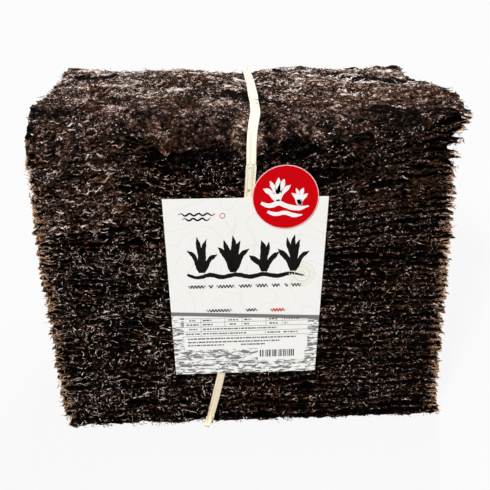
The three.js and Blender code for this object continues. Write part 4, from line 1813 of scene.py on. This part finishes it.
@dataclass(frozen=True)
class StrawFinish:
    """A flat strip of dried rice straw: matt, pale cream, tan towards its foot, with long fibres."""

    top: str = "#e4e1d5"
    cream: str = "#f2e9cf"
    foot: str = "#ecdcc0"
    tan: str = "#c9a878"
    speck: str = "#7a5a38"
    fibre_mm: float = 0.45
    speck_mm: float = 1000 / 260
    marks: tuple = ((3.5, -5.5, 221.5, 1.0), (4.6, -40, 220, 0.7), (2.2, -73, 216, 0.9),
                    (2.6, -92, 211.5, 1.1), (0.6, -94, 209.5, 0.7), (-0.4, -98.5, 200, 0.8),
                    (-1.0, -98.6, 174, 1.7), (-26.6, -98.6, 18.6, 1.0), (-27.4, -98.6, 16.4, 1.3))
    roughness: float = 0.62

    def material(self) -> bpy.types.Material:
        """Makes the material.

        Returns:
            The material.
        """
        material, tree, shader = new_material("Dried_rice_straw")
        place = add_node(tree, "TexCoord")["Object"]
        run = add_node(tree, "Attribute", attribute_name="straw_run")["Vector"]
        lengthwise = add_node(tree, "Mapping", {"Vector": run, "Scale": (10 / self.fibre_mm, 20, 0.0)})[0]
        fibres = add_node(tree, "TexNoise", {"Vector": lengthwise, "Scale": 1.0, "Detail": 2.0})["Fac"]
        height = add_node(tree, "SeparateXYZ", (place,))["Z"]
        upper = add_node(tree, "MapRange", (height, 0.0, 0.225, 0.0, 1.0))[0]
        ramp = add_node(tree, "ValToRGB", (upper,))
        set_ramp(ramp, [(0.0, self.foot), (0.8, self.cream), (0.94, self.top)])
        spots = add_node(tree, "TexNoise", {
            "Vector": place, "Scale": 1000 / self.speck_mm, "Detail": 1.0})["Fac"]
        stains = [(add_node(tree, "MapRange", (fibres, 0.5, 0.8, 0.0, 0.5))[0], self.tan),
                  (add_node(tree, "MapRange", (spots, 0.72, 0.78, 0.0, 0.8))[0], self.speck)]
        for *middle, radius in self.marks:
            away = add_node(tree, "VectorMath", (place, [value * MM for value in middle]),
                            operation="DISTANCE")["Value"]
            mark = add_node(tree, "MapRange", (away, radius * 0.5 * MM, radius * MM, 0.85, 0.0))[0]
            stains.append((mark, self.speck))
        colour = ramp[0]
        for share, stain in stains:
            colour = add_node(tree, "Mix", {"Factor": share, "A": colour, "B": linear(stain)},
                              data_type="RGBA")[2]
        bump = add_node(tree, "Bump", {"Height": fibres, "Strength": 0.7, "Distance": 0.15 * MM})[0]
        set_inputs(shader, {"Base Color": colour, "Normal": bump, "Roughness": self.roughness})
        return material


@dataclass(frozen=True)
class PaperFinish:
    """Uncoated label paper, matt and off-white, printed with faint contour lines and grey streaks."""

    white: str = "#f4f3ef"
    contour: str = "#eeede8"
    streak: str = "#7c7a78"
    band: str = "#777574"
    tilt: float = 0.05
    streaks_under: float = 87.0
    band_z: tuple = (84.9, 87.6)
    clear_fields: tuple = ((-47.2, 36.4, 61.2, 1000.0), (2.7, 34.8, 51.9, 61.5))
    fibre_mm: float = 0.6
    roughness: float = 0.75

    def material(self, pile: PileShape) -> bpy.types.Material:
        """Makes the material.

        Args:
            pile: The pile, for the frame's offset.

        Returns:
            The material.
        """
        material, tree, shader = new_material("Uncoated_label_paper")
        place = add_node(tree, "TexCoord")["Object"]
        parts = add_node(tree, "SeparateXYZ", (place,))
        x, z = parts["X"], parts["Z"]

        def within(value: bpy.types.NodeSocket, low: float, high: float) -> bpy.types.NodeSocket:
            """Marks where a value lies between two places.

            Args:
                value: The value.
                low: The lower place in millimetres.
                high: The upper place in millimetres.

            Returns:
                1 between them, else 0.
            """
            over = add_node(tree, "Math", (value, low * MM), operation="GREATER_THAN")[0]
            under = add_node(tree, "Math", (value, high * MM), operation="LESS_THAN")[0]
            return add_node(tree, "Math", (over, under), operation="MULTIPLY")[0]

        # Grey streaks fill the tilted lower field, but for the table and the stripes' own field.
        level = add_node(tree, "Math", (x, self.tilt, z), operation="MULTIPLY_ADD")[0]
        lower = add_node(tree, "Math", (level, self.streaks_under * MM), operation="LESS_THAN")[0]
        clear = [
            add_node(tree, "Math", (within(x, left + pile.shift_x, right + pile.shift_x),
                                    within(z, low, high)), operation="MULTIPLY")[0]
            for left, right, low, high in self.clear_fields]
        clear = add_node(tree, "Math", clear, operation="MAXIMUM")[0]
        field_share = add_node(tree, "Math", (lower, clear), operation="SUBTRACT", use_clamp=True)[0]
        stretched = add_node(tree, "Mapping", {"Vector": place, "Scale": (150, 1, 620)})[0]
        streaks = add_node(tree, "TexNoise", {
            "Vector": stretched, "Scale": 1.0, "Detail": 3.0, "Roughness": 0.6, "Distortion": 0.8})["Fac"]
        streaks = add_node(tree, "MapRange", (streaks, 0.49, 0.52, 0.0, 1.0))[0]
        streaks = add_node(tree, "Math", (streaks, field_share), operation="MULTIPLY")[0]

        # Faint contour lines fill the upper field.
        hills = add_node(tree, "TexNoise", {"Vector": place, "Scale": 24.0, "Detail": 1.5})["Fac"]
        steps = add_node(tree, "Math", (hills, 11.0), operation="MULTIPLY")[0]
        steps = add_node(tree, "Math", (steps,), operation="FRACT")[0]
        lines = add_node(tree, "Math", (steps, 0.09), operation="LESS_THAN")[0]
        upper = add_node(tree, "Math", (1.0, lower), operation="SUBTRACT")[0]
        lines = add_node(tree, "Math", (lines, upper), operation="MULTIPLY")[0]
        colour = linear(self.white)
        for share, ink in ((lines, self.contour), (streaks, self.streak),
                           (within(level, *self.band_z), self.band)):
            colour = add_node(tree, "Mix", {"Factor": share, "A": colour, "B": linear(ink)},
                              data_type="RGBA")[2]
        fibres = add_node(tree, "TexNoise", {
            "Vector": place, "Scale": 1000 / self.fibre_mm, "Detail": 2.0})["Fac"]
        bump = add_node(tree, "Bump", {"Height": fibres, "Strength": 0.12, "Distance": 0.05 * MM})[0]
        set_inputs(shader, {"Base Color": colour, "Normal": bump, "Roughness": self.roughness})
        return material


@dataclass(frozen=True)
class PlainPrint:
    """Printing ink, or a sticker's coated paper: an even colour with faint mottling."""

    name: str
    colour: str
    shade: str
    roughness: float = 0.55
    gloss: float = 0.1
    mottle_mm: float = 1.6

    def material(self) -> bpy.types.Material:
        """Makes the material.

        Returns:
            The material.
        """
        material, tree, shader = new_material(self.name)
        place = add_node(tree, "TexCoord")["Object"]
        mottle = add_node(tree, "TexNoise", {
            "Vector": place, "Scale": 1000 / self.mottle_mm, "Detail": 2.0})["Fac"]
        mixed = add_node(tree, "Mix", {
            "Factor": mottle, "A": linear(self.colour), "B": linear(self.shade)}, data_type="RGBA")[2]
        set_inputs(shader, {"Base Color": mixed, "Roughness": self.roughness,
                            "Specular IOR Level": self.gloss})
        return material


# --- The studio ----------------------------------------------------------------------------


@dataclass
class Studio:
    """A plain white floor, soft light and the camera at the photograph's place."""

    lens: float = 58.3
    sensor: float = 36.0
    camera_place: tuple = (-31.7, -576.3, 327.8)
    pitch: float = 21.77
    yaw: float = 3.38
    floor_size: float = 40.0
    floor_base: tuple = (0.06, 0.06, 0.06, 1.0)
    floor_glow: float = 0.885
    sky_strength: float = 0.3
    white: str = "#fafafa"
    suns: tuple = (("back_light", 1.35, 12, (-42, 0, -12)), ("front_light", 3.9, 9, (56, 0, -28)),
                   ("left_light", 1.6, 20, (80, 0, -110)), ("right_light", 1.6, 20, (80, 0, 110)))

    def build(self) -> None:
        """Makes the floor, the world, the lights and the camera."""
        scene = bpy.context.scene
        scene.view_settings.view_transform = "Standard"
        scene.view_settings.look = "None"
        self.add_floor()
        self.add_world(scene)
        for sun in self.suns:
            self.add_sun(*sun)
        camera = bpy.data.objects.new("camera", bpy.data.cameras.new("camera"))
        camera.data.lens = self.lens
        camera.data.sensor_width = self.sensor
        camera.location = [value * MM for value in self.camera_place]
        camera.rotation_euler = (math.radians(90 - self.pitch), 0, math.radians(-self.yaw))
        scene.collection.objects.link(camera)
        scene.camera = camera

    def add_floor(self) -> None:
        """Adds the floor, which glows a little so that hardly any shadow shows."""
        bpy.ops.object.select_all(action="DESELECT")
        bpy.ops.mesh.primitive_plane_add(size=self.floor_size)
        floor = bpy.context.object
        floor.name = "floor"
        material, _, shader = new_material("White_studio_floor")
        set_inputs(shader, {"Base Color": self.floor_base, "Roughness": 0.9, "Specular IOR Level": 0.0,
                            "Emission Color": (1, 1, 1, 1), "Emission Strength": self.floor_glow})
        floor.data.materials.append(material)
        floor.visible_diffuse = False
        floor.visible_glossy = False

    def add_world(self, scene: bpy.types.Scene) -> None:
        """Lights the scene softly from above, and shows the camera plain white.

        Args:
            scene: The scene.
        """
        world = bpy.data.worlds.new("studio")
        world.use_nodes = True
        tree = world.node_tree
        tree.nodes.clear()
        place = add_node(tree, "TexCoord")["Generated"]
        height = add_node(tree, "SeparateXYZ", (place,))["Z"]
        level = add_node(tree, "MapRange", (height, -0.2, 1.0, 0.03, 1.0))[0]
        soft = add_node(tree, "Background", {"Color": level, "Strength": self.sky_strength})[0]
        plain = add_node(tree, "Background", {"Color": linear(self.white), "Strength": 1.0})[0]
        seen = add_node(tree, "LightPath")["Is Camera Ray"]
        mixed = add_node(tree, "MixShader", (seen, soft, plain))[0]
        add_node(tree, "OutputWorld", {"Surface": mixed})
        scene.world = world

    @staticmethod
    def add_sun(name: str, strength: float, angle: float, turn: tuple) -> None:
        """Adds a wide soft light from far away.

        Args:
            name: Its name.
            strength: Its strength.
            angle: How wide it looks, in degrees.
            turn: Its rotation in degrees.
        """
        light = bpy.data.lights.new(name, "SUN")
        light.energy = strength
        light.angle = math.radians(angle)
        lamp = bpy.data.objects.new(name, light)
        lamp.rotation_euler = [math.radians(value) for value in turn]
        bpy.context.scene.collection.objects.link(lamp)


def main() -> None:
    """Builds the pieces in order."""
    logging.basicConfig(level=logging.INFO, format="%(message)s")
    bpy.ops.object.select_all(action="DESELECT")
    pile = PileShape()
    seaweed = SeaweedFinish().material()
    pairs = SheetPairs(pile)
    pairs.build(seaweed)
    top = TopSheet(pile, pairs)
    shreds = Shreds(pile)
    curls = Shreds(pile, "curls", stations=6, wiggle=0.09, width_range=(0.3, 0.6), length_range=(4.0, 11.0),
                   yaw_spread=0.3, pitch_spread=0.14, scatter=0.15, pale=0.55, seed=161)
    tufts = Shreds(pile, "tufts", stations=3, wiggle=0.2, width_range=(0.3, 0.65), length_range=(1.0, 3.4),
                   yaw_spread=1.3, pitch_spread=0.8, scatter=0.34, clump=1.0, pale=0.8, stands_out=0.9,
                   seed=261)
    for side, count, small in ((Side.FRONT, 4200, 27000), (Side.RIGHT, 2400, 9000),
                               (Side.BACK, 3600, 12000), (Side.LEFT, 2400, 9000)):
        shreds.build_edge(side, count, seaweed)
        curls.build_edge(side, int(count * 0.25), seaweed)
        tufts.build_edge(side, small, seaweed)
    shreds.build_top(6000, top, seaweed)
    curls.build_flaps(2300, seaweed)
    StrawTie(pile, top).build(StrawFinish().material())
    label = PaperLabel(pile)
    label.build(PaperFinish().material(pile))
    LabelPrint(pile, label).build(
        PlainPrint("Black_printing_ink", "#14100f", "#1c1816").material(),
        PlainPrint("Grey_printing_ink", "#575352", "#686463").material(),
        PlainPrint("Red_printing_ink", "#d2503f", "#c9402f").material(),
        PlainPrint("Pale_beige_printing_ink", "#e9e1d2", "#e2d8c6").material(),
    )
    RoundSticker(pile).build(
        PlainPrint("Red_coated_sticker_paper", "#d4000c", "#c4000a", 0.5).material(),
        PlainPrint("Pale_sticker_rim", "#f3c9c6", "#eebbb8", 0.5).material(),
        PlainPrint("White_printing_ink", "#fbf8f6", "#f5f0ee", 0.5).material(),
    )
    Studio().build()


if __name__ == "__main__":
    main()
